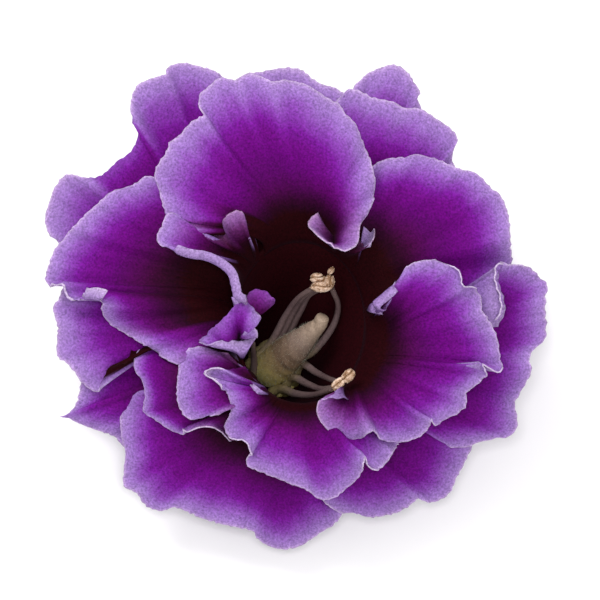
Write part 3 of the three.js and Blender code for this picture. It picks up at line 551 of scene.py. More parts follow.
# %% The middle lobes
MIDDLE_LOBES = {
    "mid_left_lower": {"arc": (196, 172, 165, 180, 190, 190), "rim": [
        (-15.3, -7.2, -6), (-24.3, -8.1, -8), (-29, -6.3, -5), (-30.1, -8.5, -4), (-31.1, -10.1, -2),
        (-33.3, -10.8, -3), (-34.7, -11.7, -4), (-36, -13.9, -5), (-36.9, -15.5, -6),
        (-38.3, -15.1, -6), (-39.6, -14, -6), (-41, -11.9, -6), (-42.5, -10.3, -6), (-43.9, -9.4, -6),
        (-44.1, -6.8, -6), (-43.9, -4.5, -6), (-44.3, -2.3, -6), (-44.8, -0.5, -6), (-43.7, 1.1, -6),
        (-42.8, 3.1, -6), (-37.8, 5.4, -5), (-19.8, 3.6, -3),
    ], "margin_rate": 0.75, "shaded": [(0, 7, 28, 9)]},
    "mid_left": {"arc": (196, 130), "rim": [
        (-13, -7, -5), (-15.5, -8.1, -4), (-18, -8.8, -2), (-20.2, -9.5, 0), (-22.3, -10.3, 1),
        (-24.3, -9.4, 1), (-27, -7.9, 0), (-29.7, -6.3, -1), (-32.4, -4.7, -1), (-34.7, -3.2, -1),
        (-35.8, -1.3, 0), (-35.5, 0.5, 1), (-36.9, 1.1, 1), (-39.1, 1.1, 0), (-40.7, 0.7, -1),
        (-42.1, 1.6, -2), (-42.8, 3.6, -2), (-44.6, 3.4, -3), (-46.1, 4.7, -4), (-45.5, 7.2, -4),
        (-44.5, 9.9, -4), (-42.7, 12.2, -4), (-40.5, 14.6, -4), (-38.5, 16.7, -4), (-36.4, 18.5, -3),
        (-34.6, 20.2, -3), (-32.4, 21.2, -3), (-29.7, 22.1, -3), (-28.1, 23.2, -3), (-25.6, 22.9, -3),
        (-19.8, 20.7, -2), (-9, 16.7, -1),
    ], "throat_rate": 0.65, "shaded": [(3, 7, -5, 0)],
       "curls": [(11, 13, 200, 6), (14, 17, 150, 1.8)]},
    "mid_right_upper": {"arc": (60, 6), "rim": [
        (8.1, 18, 0), (10.4, 21.6, -1), (12.2, 24.1, -2), (14, 25.6, -3), (16.2, 26.5, -3),
        (18.9, 26.8, -3), (21.6, 27.2, -3), (23.9, 26.8, -4), (26.5, 25.6, -4), (29.3, 24.5, -4),
        (31.5, 24.1, -4), (33.1, 22.9, -4), (34.7, 21.1, -4), (36.2, 20, -4), (37.3, 17.8, -4),
        (37.8, 15.5, -4), (38, 12.6, -4), (38.3, 9.9, -5), (38.5, 7.9, -6), (37.4, 5.9, -6),
        (35.6, 4, -6), (32.4, 2.7, -5), (25.2, 1.6, -3), (17.6, 1.6, -2),
    ]},
    "low_left_outer": {"arc": (254, 222), "rim": [
        (-6.8, -15.7, -2), (-10.3, -21.6, -3), (-12.4, -24.5, -3), (-14, -23, -2), (-15.8, -22, -1),
        (-18, -22, -1), (-20.7, -23, -2), (-22.9, -22.9, -4), (-24.7, -21.8, -4), (-26.6, -20.5, -4),
        (-28.4, -19.3, -3), (-28.1, -16.6, -2), (-28.6, -13.9, -1), (-29.9, -11.5, 0),
        (-29.9, -9.4, -1), (-28.4, -7.4, -3), (-24.3, -7.2, -4), (-14.4, -7.2, -4),
    ], "margin_rate": 2.4, "throat_rate": 0.75, "curls": [(2, 6, 110, 1.5)]},
}
print("middle lobes:", ", ".join(MIDDLE_LOBES))

# %% The inner lobes
INNER_LOBES = {
    "low_left_inner": {"arc": (242, 220), "rim": [
        (-9, -13.5, 3), (-11.2, -17.5, 3), (-13.7, -19.1, 3), (-15.8, -19.6, 3), (-18, -20.3, 2),
        (-20, -20.5, 2), (-21.4, -19.4, 2), (-22.3, -17.1, 2), (-22.3, -14.4, 2), (-22.1, -11.2, 2),
        (-21.6, -8.8, 2), (-18, -7.4, 2), (-13, -8.5, 2),
    ]},
    "inner_bottom": {"arc": (288, 234), "rim": [
        (9.4, -14.6, -3), (15.3, -18.9, -3), (18, -24.3, -2), (17.1, -26.3, 1), (15.8, -28.4, 1),
        (13.7, -29.7, 2), (12.2, -28.8, 3), (11.7, -27.2, 4), (11.2, -29.3, 3), (10.4, -31.5, 2),
        (8.6, -33.3, 2), (5.8, -35.1, 1), (3.6, -35.1, 1), (1.4, -33.5, 2), (-1.6, -32.4, 2),
        (-4.5, -31.3, 2), (-7.4, -30.2, 2), (-9.5, -29, 3), (-9, -26.5, 3), (-9.7, -24.5, 3),
        (-12.6, -23.9, 3), (-13.9, -22.5, 3), (-12.8, -20, 3), (-12.8, -17.5, 3), (-14, -14.9, 4),
        (-15.3, -13.5, 5), (-17.3, -12.2, 6), (-15.1, -11.2, 6), (-13, -11.3, 4), (-9.9, -11, 3),
    ], "throat_rate": 1.35, "shaded": [(25, 27, -4, -2), (28, 29, 6, 6)],
       "curls": [(24, 27, 140, 2), (18, 20, 90, 1.4), (5, 8, 60, 1.5)]},
    "inner_right": {"arc": (10, -14, -34, -46, -50), "rim": [
        (16.4, -2, 0), (14.4, -1.1, 2), (13.1, 0.4, 4), (14.4, 1.6, 4), (16.7, 3.6, 4), (18.4, 5.2, 4),
        (19.6, 6.8, 4), (21.6, 7.7, 4), (25.2, 8.1, 4), (26.8, 7.2, 4), (28.6, 6.1, 4), (29.3, 3.4, 4),
        (31.3, 3.2, 3), (32.8, 1.3, 3), (32.8, -0.7, 3), (34.2, -2.9, 3), (35.6, -5.8, 2),
        (36.2, -8.5, 2), (36.5, -11, 2), (35.8, -12.1, 3), (33.8, -11.2, 4), (32.8, -10.6, 4),
        (33.5, -12.6, 3), (32.2, -14.2, 3), (30.1, -16, 3), (30.2, -18, 3), (29, -19.1, 3),
        (26.8, -20.3, 3), (25, -21.4, 3), (23.8, -20.7, 4), (23.2, -22.3, 3), (21.6, -23.8, 2),
        (18, -24.8, 2), (15.5, -24.5, 2), (13.9, -23, 4), (12.6, -22.7, 5), (10.8, -24.1, 5),
        (8.1, -24.5, 5), (7.4, -23.4, 5), (5.9, -22.9, 5), (4.5, -21.2, 5), (4, -19.8, 5),
        (4.5, -18.2, 5), (5.9, -17.3, 4), (7.4, -17.1, 3), (8.6, -17.1, 0),
    ], "shaded": [(1, 4, 0, 2), (43, 45, 4, 4)],
       "curls": [(1, 4, 200, 4), (9, 12, 110, 1.8), (18, 22, 120, 1.8)]},
    "inner_top": {"arc": (124, 114, 97, 75.5, 54), "rim": [
        (-9, 19.6, 0), (-12.2, 18.2, 0), (-15.3, 17.5, 1), (-15.8, 15.7, 2), (-16.7, 13.9, 3),
        (-18, 13.5, 4), (-19.8, 14.4, 4), (-21.6, 15.8, 4), (-23.9, 16.6, 4), (-24.7, 18.4, 4),
        (-25.4, 20.7, 4), (-26.3, 23.9, 4), (-25.2, 26.1, 4), (-23.9, 27.9, 4), (-23.4, 29.5, 4),
        (-21.8, 30.6, 4), (-19.8, 32.8, 4), (-17.3, 34.2, 4), (-18, 36.2, 4), (-18, 38.2, 4),
        (-16.6, 39.2, 4), (-14.4, 41, 4), (-11.7, 40.7, 3), (-9.4, 41.8, 3), (-7.2, 41.2, 3),
        (-5, 40.3, 3), (-2.2, 40.7, 3), (0, 40.1, 3), (2.3, 39.1, 3), (4.5, 37.6, 3), (6.8, 36.5, 3),
        (7.9, 34.9, 3), (10.1, 32.6, 3), (11.2, 30.2, 3), (12.2, 27.5, 3), (13.1, 24.3, 4),
        (13.5, 21.6, 4), (12.8, 18.9, 4), (11.9, 16.6, 4), (10.3, 15.1, 4), (9, 12.4, 5),
        (7.6, 11.7, 5), (5.8, 12.2, 5), (3.6, 13.7, 5), (1.8, 15.5, 3), (3.2, 16.7, 1),
    ], "margin_rate": 0.7, "shaded": [(0, 5, 14, 5), (6, 8, 9, 1), (9, 11, 5, 0)]},
    "inner_left_upper": {"arc": (172, 151, 144, 139, 134), "rim": [
        (-9, -2, 3), (-10.3, 0.4, 7), (-11.7, 1.4, 8), (-12.2, 3.4, 8), (-12.8, 5.4, 8), (-14.6, 7, 8),
        (-17.1, 8.1, 8), (-19.8, 8.5, 8), (-22.5, 9.5, 7), (-24.7, 11, 7), (-25.9, 12.4, 6),
        (-24.8, 14.6, 5), (-23.8, 16.6, 5), (-22.3, 16.4, 5), (-20.9, 14.9, 5), (-19.4, 13.9, 5),
        (-17.5, 13.1, 5), (-15.5, 12.8, 5), (-14, 13.3, 5), (-14.2, 14.9, 6), (-13.1, 16.2, 7),
        (-11.5, 17.1, 7), (-10.3, 16.7, 7), (-9.7, 15.1, 6),
    ], "margin_rate": 0.95, "calm": 0.03, "throat_rate": 0.85,
       "shaded": [(1, 8, 4, 1.8), (9, 18, 3, 0), (19, 23, 3, 0)],
       "curls": [(1, 8, 200, 4)]},
    "inner_left_lower": {"arc": (207, 192), "rim": [
        (-7.7, -5.6, 4), (-8.8, -5.9, 4), (-10.8, -6.3, 5), (-13.3, -6.3, 5), (-15.8, -6.7, 5),
        (-18.5, -6.5, 5), (-17.1, -5, 5), (-14.8, -3.4, 6), (-12.8, -1.4, 7), (-11.5, 0.4, 7),
        (-10.3, 0.9, 8), (-9, 0.4, 8), (-7.7, -0.9, 8), (-6.8, -2.2, 8), (-7.4, -3.1, 7),
        (-8.6, -3.6, 6), (-7.7, -4.5, 6), (-7.6, -5.8, 5),
    ], "calm": 0.05, "throat_rate": 1.3, "shaded": [(0, 5, 0, 1), (6, 11, 0, 3)]},
    "inner_top_frill": {"arc": (60, 38), "rim": [
        (9.4, 14.2, -1), (10.4, 13.1, 0), (11.5, 11.3, 0), (12.8, 11, 0), (13.7, 12.4, -1),
        (13.3, 14.2, -2), (11.9, 16, -2),
    ]},
    "inner_left_tip": {"arc": (202, 186), "rim": [
        (-9.4, -2.7, 3), (-10.1, -0.2, 5), (-9.7, 1.6, 6), (-8.6, 2.7, 6), (-6.8, 2.9, 6),
        (-5.4, 2, 6), (-4.5, 0.7, 5), (-5.4, -0.2, 5), (-6.8, -0.5, 5), (-7.9, -1.6, 4),
    ], "calm": 0.05, "shaded": [(0, 9, 4, 3)]},
}
print("inner lobes:", ", ".join(INNER_LOBES))

# %% [markdown]
# ## How an edge ruffles
# Where an edge is drawn in toward the throat it has to go somewhere: it stands up, as
# gathered cloth does. So the height of a ruffle is taken from the outline itself. Finer waves
# and a tiny toothing are added on top, and the last two millimetres roll a little.

# %% Sizes of arches and ruffles
COLUMN = 0.55  # mm between columns along an edge
ARCH_ROWS = 22
LIP_ROWS = 7
# A whorl's lobes leave the tube at an offset (mm) and a level, climb its wall by rise (mm) and
# arch up by crown (mm). Ruffle is their height for each mm that the edge is drawn in. The last
# number is how far from the tube, in mm, painted shade darkens the underside with the throat's
# colours: on the outer, nowhere.
WHORLS = {
    "outer": {"offset": 1.9, "level": 0.7, "rise": 4.0, "crown": 4.0, "ruffle": 0.4, "underside_shade_reach": -20},
    "middle": {"offset": 0.0, "level": 0.84, "rise": 5.5, "crown": 3.5, "ruffle": 0.8, "underside_shade_reach": 6},
    "inner": {"offset": 0.0, "level": 0.84, "rise": 9.0, "crown": 4.0, "ruffle": 0.8, "underside_shade_reach": 8},
}
ROW_SPREAD = 0.9  # rows lie a little closer together at the edge
CREST_REACH = 0.45  # share of the way back to the tube at which an arch is highest
RISE_LIMIT = 0.42  # the most a lobe climbs, as a share of its reach
CROWN_LIMIT = 0.2  # the most it stands up, as a share of its reach
CALM_SHARE = 0.1
FRILL_FADE = 3.0  # the power with which a ruffle fades toward the tube
END_FADE = 3.0  # mm over which it fades at both ends of an edge
WAVES = [(9, 0.45), (4.5, 0.25)]  # wavelength and height in mm of the finer waves
TEETH = [(1.6, 0.12), (0.9, 0.08)]
SWELLS = [(13, 0.35)]  # the same for the broad unevenness of a petal
SWELL_FADE = 1.6
LIP = 1.7  # mm of edge that rolls
LIP_TURN = -22  # degrees, down on average
LIP_SWAYS = [(16, 30)]  # wavelength and degrees either way
LIP_STRETCHES = [(11, 0.25)]
LIP_FADE = 2.0
CURL_SOFTNESS = 0.9  # mm over which a curl sets in
SHADE_SOFTNESS = 2.0


# %% Along an edge
def fade_at_ends(walked, reach):
    return smoothstep(walked, 0, reach) * smoothstep(walked[-1] - walked, 0, reach)


def stretches(lobe, key, walked, soft):
    """For each stretch listed under a key: how far each column is in it, and its numbers."""
    place = np.concatenate([[0], np.cumsum(step_lengths(np.array(lobe["rim"], float)))])
    place *= walked[-1] / place[-1]
    found = []
    for first, last, *numbers in lobe.get(key, []):
        middle, half = (place[first] + place[last]) / 2, (place[last] - place[first]) / 2
        found.append((1 - smoothstep(np.abs(walked - middle) - half, -0.5 * soft, soft), numbers))
    return found


def lip_of(lobe, walked, draw):
    """For each column: how far its edge turns in radians, over what length, and how curled it is."""
    turn = np.radians(LIP_TURN + ripples(walked, LIP_SWAYS, draw))
    length = LIP * (1 + ripples(walked, LIP_STRETCHES, draw))
    curled = np.zeros_like(walked)
    for weight, (degrees, reach) in stretches(lobe, "curls", walked, CURL_SOFTNESS):
        turn = mixed(turn, math.radians(degrees), weight)
        length = mixed(length, reach, weight)
        curled = np.maximum(curled, weight)
    return turn * fade_at_ends(walked, LIP_FADE), length, curled[:, None]


def frill_of(rim, calm, outward, walked, ruffle, draw):
    """How far each point of the edge stands off the calm edge, and how far it is drawn in."""
    frill = rim - calm
    drawn_in = -(frill * outward).sum(axis=1)
    frill[:, 2] += ruffle * drawn_in
    frill[:, 2] += ripples(walked, WAVES, draw)
    frill += outward * ripples(walked, TEETH, draw)[:, None]
    return mixed(rim - calm, frill, fade_at_ends(walked, END_FADE)[:, None]), drawn_in


# %% From a lobe to a sheet of points
def rolled_rows(edge, heading, normal, turn, length):
    """The rows of the lip, each edge point carried round an arc of its own turn and length."""
    straight = np.abs(turn) < 1e-3
    safe = np.where(straight, 1e-3, turn)
    rows = []
    for part in np.arange(1, LIP_ROWS + 1) / LIP_ROWS:
        swing = turn * part
        forward = length * np.where(straight, part, np.sin(swing) / safe)
        upward = length * np.where(straight, 0, (1 - np.cos(swing)) / safe)
        rows.append(edge + heading * forward[:, None] + normal * upward[:, None])
    return np.array(rows)


def lobe_sheet(lobe, whorl, draw):
    """The lobe's middle surface as rows of points, from the tube to the rolled edge."""
    rim_length = length_of(through(lobe["rim"], 300))
    columns = round(rim_length / COLUMN)
    rim = through(lobe["rim"], columns)
    calm = calmed(rim, round(columns * lobe.get("calm", CALM_SHARE)))
    walked = np.linspace(0, rim_length, columns + 1)
    arc = lobe["arc"]
    angle = np.radians(np.interp(walked / rim_length, np.linspace(0, 1, len(arc)), arc))
    root = tube_point(angle, whorl["level"], whorl["offset"])
    wall = unit(root - tube_point(angle, whorl["level"] - 0.1, whorl["offset"]))
    inward = (root - calm) * [1, 1, 0]
    span = np.linalg.norm(inward, axis=1, keepdims=True)
    outward = -inward / np.maximum(span, 1e-6)
    frill, drawn_in = frill_of(rim, calm, outward, walked, whorl["ruffle"], draw)
    turn, length, curled = lip_of(lobe, walked, draw)

    # A curl leaves its edge squarely; elsewhere the lip goes on the way the petal does.
    along = np.gradient(calm, axis=0)
    square = unit(np.stack([along[:, 1], -along[:, 0], np.zeros(len(along))], axis=1))
    square *= np.sign((square * outward).sum())
    way = unit(mixed(outward, square, curled))
    bent = np.abs(turn)
    extent = length * np.where(bent > math.pi / 2, 1 / np.maximum(bent, 1e-6), np.sinc(bent / math.pi))
    brink = calm - way * extent[:, None]

    lift = root + wall * np.minimum(whorl["rise"], span * RISE_LIMIT)
    crest = brink + inward * CREST_REACH + [0, 0, 1] * np.minimum(whorl["crown"], span * CROWN_LIMIT)
    share = (np.linspace(0, 1, ARCH_ROWS + 1) ** ROW_SPREAD)[:, None, None]
    keep = 1 - share
    arch = (keep ** 3 * root + 3 * keep ** 2 * share * lift
            + 3 * keep * share ** 2 * crest + share ** 3 * brink)
    ends = fade_at_ends(walked, END_FADE)[:, None]
    swell = ripples(walked, SWELLS, draw)[None, :, None] * share ** SWELL_FADE * ends
    grid = arch + frill * share ** FRILL_FADE + swell * [0, 0, 1]

    heading = unit(mixed(unit(grid[-1] - grid[-2]), way, curled))
    normal = unit(mixed(grid_normals(grid)[-1], np.array([0.0, 0, 1]), curled))
    lip = rolled_rows(grid[-1], heading, normal, turn, length)
    return np.concatenate([grid, lip]), walked, np.maximum(drawn_in, 0)


# %% From a sheet to a blade
BLADE_ROOT = 0.6  # mm thick at the tube
BLADE_EDGE = 0.24
BLADE_TAPER = 8.0  # mm from the edge over which it thins
GATHERED = 0.5  # how much the pale margin narrows for each mm that the edge is drawn in
GATHER_REACH = 6  # columns over which that is evened out
UNDERSIDE_SHADE_FADE = 5.0


def lobe_blade(lobe, whorl, draw):
    """The sheet as a blade, with the distances its colours follow."""
    grid, walked, drawn_in = lobe_sheet(lobe, whorl, draw)
    from_root = np.vstack([np.zeros((1, grid.shape[1])), np.cumsum(step_lengths(grid), axis=0)])
    margin = (from_root[-1] - from_root) * lobe.get("margin_rate", 1.0)
    thickness = BLADE_EDGE + (BLADE_ROOT - BLADE_EDGE) * smoothstep(margin, 0, BLADE_TAPER)
    margin = margin * (1 + GATHERED * calmed(drawn_in[:, None], GATHER_REACH)[:, 0])
    throat = from_root * lobe.get("throat_rate", 1.0)
    # Painted shade along the listed stretches: darker, as if deeper in the throat, and less pale.
    for weight, (darker, less_pale) in stretches(lobe, "shaded", walked, SHADE_SOFTNESS):
        throat = throat - weight * darker
        margin = margin + weight * less_pale
    part = blade_part(grid, thickness, margin=margin, throat=throat, ray=walked)
    # Inside the bloom, near the tube, the underside takes the upper side's dark throat colours: painted
    # shade.
    part["under"] = part["under"] * smoothstep(part["throat"], whorl["underside_shade_reach"] - UNDERSIDE_SHADE_FADE, whorl["underside_shade_reach"])
    return part


# %% Grow the petals
draw = np.random.default_rng(7)
outer_blades = [lobe_blade(lobe, WHORLS["outer"], draw) for lobe in OUTER_LOBES.values()]
middle_blades = [lobe_blade(lobe, WHORLS["middle"], draw) for lobe in MIDDLE_LOBES.values()]
inner_blades = [lobe_blade(lobe, WHORLS["inner"], draw) for lobe in INNER_LOBES.values()]
outer_tube = tube_part(offset=WHORLS["outer"]["offset"], top=0.735, sink=2.8, floor=1.2)
inner_tube = tube_part(offset=WHORLS["inner"]["offset"], top=0.88, sink=1.2, floor=1.2)
outer_petals = mesh_piece("outer_petals", joined_parts([outer_tube] + outer_blades), velvet)
middle_petals = mesh_piece("middle_petals", joined_parts(middle_blades), velvet)
inner_petals = mesh_piece("inner_petals", joined_parts([inner_tube] + inner_blades), velvet)
finish_piece(outer_petals, "petals", "outer_corolla")
finish_piece(middle_petals, "petals", "inner_corolla")
finish_piece(inner_petals, "petals", "inner_corolla")

# %% [markdown]
# ## One way to grow small things
# Hairs, pollen, sepals and filaments all repeat or follow a path, which is what Geometry Nodes
# are for. Placing thousands of hairs by hand in a loop would be slow and hard to adjust. Each
# tree takes its sizes as named inputs and ends as plain faces, because instances are lost when
# the model leaves Blender.

# %% Run a Geometry Nodes tree on a piece
SOCKETS = {int: "NodeSocketInt", float: "NodeSocketFloat"}


def grown(name, host, material, steps, sizes):
    """A new piece: what the tree built by steps makes of the host, as a plain mesh."""
    tree = bpy.data.node_groups.new(name, "GeometryNodeTree")
    tree.interface.new_socket("Geometry", in_out="INPUT", socket_type="NodeSocketGeometry")
    tree.interface.new_socket("Geometry", in_out="OUTPUT", socket_type="NodeSocketGeometry")
    given = {tree.interface.new_socket(label, in_out="INPUT", socket_type=SOCKETS[type(value)]): value
             for label, value in sizes.items()}
    start = tree.nodes.new("NodeGroupInput")
    shapes = add(tree, "GeometryNodeRealizeInstances", steps(tree, start.outputs))
    add(tree, "NodeGroupOutput", add(tree, "GeometryNodeSetMaterial", shapes, Material=material))

    modifier = host.modifiers.new(name, "NODES")
    modifier.node_group = tree
    for socket, value in given.items():
        modifier[socket.identifier] = value
    depsgraph = bpy.context.evaluated_depsgraph_get()
    mesh = bpy.data.meshes.new_from_object(host.evaluated_get(depsgraph), depsgraph=depsgraph)
    host.modifiers.remove(modifier)
    mesh.name = name
    mesh.shade_smooth()
    return placed(name, mesh)


# %% Hairs
HAIR_LEAN = 0.6  # radians off upright, at most
HAIR_TURN = 6.28  # radians, once round the hair
HAIR_SIZES = (0.5, 1.2)


def hair_steps(tree, sizes):
    """Thin cones spread over the host's hairy faces, each leaning its own way."""
    hairy = add(tree, "GeometryNodeInputNamedAttribute", "hairy", data_type="FLOAT")
    density = add(tree, "ShaderNodeMath", hairy, sizes["Per square metre"], operation="MULTIPLY")
    points = add(tree, "GeometryNodeDistributePointsOnFaces", sizes["Geometry"], None, density,
                 Seed=sizes["Seed"])
    hair = add(tree, "GeometryNodeMeshCone", 3, 1, 1, 0.0, sizes["Radius"], sizes["Length"])
    lean = add(tree, "FunctionNodeRandomValue", (-HAIR_LEAN, -HAIR_LEAN, 0.0),
               (HAIR_LEAN, HAIR_LEAN, HAIR_TURN), Seed=sizes["Seed"], data_type="FLOAT_VECTOR")
    turned = add(tree, "FunctionNodeRotateRotation", points.node.outputs["Rotation"],
                 add(tree, "FunctionNodeEulerToRotation", lean), rotation_space="LOCAL")
    size = add(tree, "FunctionNodeRandomValue", data_type="FLOAT", Min=HAIR_SIZES[0], Max=HAIR_SIZES[1],
               Seed=sizes["Seed"])
    return add(tree, "GeometryNodeInstanceOnPoints", points, Instance=hair, Rotation=turned, Scale=size)


def hairs_on(name, host, length, radius, per_square_cm, seed):
    sizes = {"Per square metre": per_square_cm * 1e4, "Length": length * MM, "Radius": radius * MM,
             "Seed": seed}
    return grown(name, host, hair_material, hair_steps, sizes)


# %% [markdown]
# ## Hair, sepals and stalk
# The green parts of a gloxinia are covered in short soft hairs that catch the light as a pale
# halo. The hairs are real thin cones, since a bump in the material would vanish at the outline.
# Sepal green is a leaf's: waxy enough for a low sheen, with a paler rib down the middle.

# %% Plant hair
def soft_hair():
    """Dry and colourless but for a warm grey, as wool is."""
    material, tree, place = new_material("plant_hair", Roughness=0.5, IOR=1.45)
    patches = add(tree, "ShaderNodeTexNoise", place, 1 / (3.33 * MM), 1.0)
    tint = add(tree, "ShaderNodeValToRGB", patches, stops=[(0.3, "b9b7a2"), (0.7, "dcd9c6")])
    return coated(material, tint)


hair_material = soft_hair()
print("hair material:", hair_material.name)

# %% Sepal leaf
LEAF_STOPS = [(0.25, "4c6a2c"), (0.5, "64853a"), (0.78, "83a052")]
LEAF_PATCH = 3.85  # mm
LEAF_CELL = 0.5  # mm, coarser than real so that it shows
VEIN_PHASE = 3.14  # radians to a millimetre, for side veins 2 mm apart
VEIN_SLANT = -3.0  # mm that a side vein runs forward from the rib to the edge
VEIN_GREEN = "a9b978"
TIP_BLUSH = "7a5a4c"
TIP_START, TIP_END = 17.0, 28.0  # mm along the sepal


def sepal_leaf():
    """Leaf green with a low waxy sheen, pale veins and a breath of purple at the tip."""
    finish = {"Roughness": 0.55, "IOR": 1.42, "Sheen Weight": 0.2, "Sheen Roughness": 0.5}
    material, tree, place = new_material("sepal_leaf", **finish)
    across, lengthways = (add(tree, "ShaderNodeAttribute", attribute_name=label, out="Fac")
                          for label in ("across", "lengthways"))
    patches = add(tree, "ShaderNodeTexNoise", place, 1 / (LEAF_PATCH * MM), 4.0, 0.6)
    green = add(tree, "ShaderNodeValToRGB", patches, stops=LEAF_STOPS)
    # The veins leave the rib at a slant.
    side = add(tree, "ShaderNodeMath", across, operation="ABSOLUTE")
    slant = add(tree, "ShaderNodeMath", side, VEIN_SLANT, lengthways, operation="MULTIPLY_ADD")
    phase = add(tree, "ShaderNodeMath", slant, VEIN_PHASE, operation="MULTIPLY")
    wave = add(tree, "ShaderNodeMath", phase, operation="SINE")
    veins = add(tree, "ShaderNodeMapRange", wave, 0.86, 1.0, 0.0, 0.55)
    rib = add(tree, "ShaderNodeMapRange", side, 0.05, 0.14, 1.0, 0.0)
    lines = add(tree, "ShaderNodeMath", veins, rib, operation="MAXIMUM")
    paler = add(tree, "ShaderNodeMath", lines, 0.6, operation="MULTIPLY")
    colour = add(tree, "ShaderNodeMix", paler, green, linear(VEIN_GREEN), data_type="RGBA")
    tip = add(tree, "ShaderNodeMapRange", lengthways, TIP_START, TIP_END, 0.0, 0.45)
    tinted = add(tree, "ShaderNodeMix", tip, colour, linear(TIP_BLUSH), data_type="RGBA")
    cells = add(tree, "ShaderNodeTexVoronoi", place, 1 / (LEAF_CELL * MM))
    raised = add(tree, "ShaderNodeMath", lines, 0.8, cells, operation="MULTIPLY_ADD")
    bumps = add(tree, "ShaderNodeBump", Strength=0.5, Distance=0.15 * MM, Height=raised)
    return coated(material, tinted, bumps)


leaf_material = sepal_leaf()
print("leaf nodes:", len(leaf_material.node_tree.nodes))

# %% [markdown]
# ## The calyx
# Five sepals stand round the foot of the tube. In the bud they wrap it, and under the open
# bloom they bend out and down, so a picked bloom rests on them. One sepal is shaped as a blade
# with a channel along it, and a Geometry Nodes tree sets five of them round the stalk.

# %% One sepal
SEPAL_PATH = [(1.5, 0, 4.6), (7, 0, 5), (13, 0, 3.2), (18.5, 0, 0.3), (21.5, 0, 0.3), (25, 0, 1.9)]
SEPAL_FOOT, SEPAL_TIP = 1.2, 0.2  # mm, half widths
SEPAL_BELLY = 5.2  # mm that its middle adds to them
SEPAL_KEEL = 0.9
SEPAL_WAVE = 0.25
RIB_DEPTH, RIB_WIDTH = 0.25, 0.12  # mm, and a share of the half width
SEPAL_EDGE, SEPAL_MIDDLE = 0.35, 0.6  # mm thick at the edge, and what the middle adds
SEPAL_TURN = math.radians(18)
HAIRLESS, HAIRY = 0.8, 1.6  # mm above the table, so that no hair reaches below it
FOOT = to_world(TUBE_BASE - UP * 3.2)[0] / MM  # where the receptacle meets the outer tube


def sepal_part(steps=44, columns=22):
    middle = through(SEPAL_PATH, steps)
    share = np.linspace(0, 1, steps + 1)
    half = mixed(SEPAL_FOOT, SEPAL_TIP, share)
    half = half + SEPAL_BELLY * np.sin(math.pi * share ** 0.8) * (1 - 0.35 * share)
    side = np.linspace(1, -1, columns + 1)
    keel = SEPAL_KEEL * side ** 2 * (half / SEPAL_BELLY)[:, None]
    walked = np.linspace(0, length_of(middle), steps + 1)
    wave = SEPAL_WAVE * np.sin(walked * 1.1)[:, None] * side ** 2 * np.sign(side)
    rib = -RIB_DEPTH * np.exp(-(side / RIB_WIDTH) ** 2)
    grid = np.stack(np.broadcast_arrays(middle[:, :1], side * half[:, None],
                                        middle[:, 2:] + keel + wave + rib), axis=-1)
    thickness = SEPAL_EDGE + SEPAL_MIDDLE * (1 - side ** 2) * (1 - 0.5 * share[:, None])
    part = blade_part(grid, thickness, across=side, lengthways=walked[:, None])
    height = np.maximum(part["points"][:, 2], 0.0)  # what rests lies flat on the table
    part["points"][:, 2] = height
    part["hairy"] = smoothstep(height, HAIRLESS, HAIRY)
    return part


def sepal_steps(tree, sizes):
    """The sepal set round a circle, once for each point of it."""
    circle = add(tree, "GeometryNodeMeshCircle", sizes["Sepals"], 0.0)
    step = add(tree, "ShaderNodeMath", FULL_TURN, sizes["Sepals"], operation="DIVIDE")
    index = add(tree, "GeometryNodeInputIndex")
    angle = add(tree, "ShaderNodeMath", index, step, sizes["First turn"], operation="MULTIPLY_ADD")
    turn = add(tree, "ShaderNodeCombineXYZ", 0.0, 0.0, angle)
    round_stalk = add(tree, "GeometryNodeInstanceOnPoints", circle, None, sizes["Geometry"],
                      Rotation=add(tree, "FunctionNodeEulerToRotation", turn))
    place = (FOOT[0] * MM, FOOT[1] * MM, 0.0)
    return add(tree, "GeometryNodeTransform", round_stalk, place)


one_sepal = mesh_piece("one_sepal", sepal_part(), leaf_material, plain_metres)
sepals = grown("sepals", one_sepal, leaf_material, sepal_steps, {"Sepals": 5, "First turn": SEPAL_TURN})
bpy.data.objects.remove(one_sepal)
finish_piece(sepals, "calyx", "calyx")

# %% Receptacle and stub of stalk
STALK_PROFILE = [(1.9, 1.2), (2.1, 1.35), (2.1, 2.4), (3.2, 2.9), (4.4, 3.6), (5, 4.6), (5, FOOT[2] - 0.3),
                 (4.7, FOOT[2])]  # radius and height
STALK_WOBBLE = 0.03


def stalk_part(sides=48, steps=30):
    """Rings round the stalk's axis, gently five-cornered."""
    angle = np.linspace(0, FULL_TURN, sides, endpoint=False)
    swell = 1 + STALK_WOBBLE * np.cos(5 * (angle - SEPAL_TURN))
    rings = [np.stack([FOOT[0] + radius * swell * np.cos(angle), FOOT[1] + radius * swell * np.sin(angle),
                       np.full(sides, height)], axis=1)
             for radius, height, _ in through([(*pair, 0) for pair in STALK_PROFILE], steps)]
    points, faces = capped_rings(rings)
    ones = np.ones(len(points))
    return {"points": points, "faces": faces, "across": ones, "lengthways": 0 * ones, "hairy": ones}


receptacle = mesh_piece("receptacle", stalk_part(), leaf_material, plain_metres)
finish_piece(receptacle, "calyx", "calyx")

# %% Hairs on the green parts and on the tube
sepal_hairs = hairs_on("sepal_hairs", sepals, length=0.7, radius=0.035, per_square_cm=320, seed=3)
stalk_hairs = hairs_on("stalk_hairs", receptacle, length=0.6, radius=0.035, per_square_cm=420, seed=4)
tube_host = mesh_piece("tube_host", outer_tube | {"hairy": outer_tube["under"]}, velvet)
tube_hairs = hairs_on("tube_hairs", tube_host, length=0.5, radius=0.03, per_square_cm=350, seed=5)
bpy.data.objects.remove(tube_host)
finish_piece(sepal_hairs, "calyx")
finish_piece(stalk_hairs, "calyx")
finish_piece(tube_hairs, "petals")
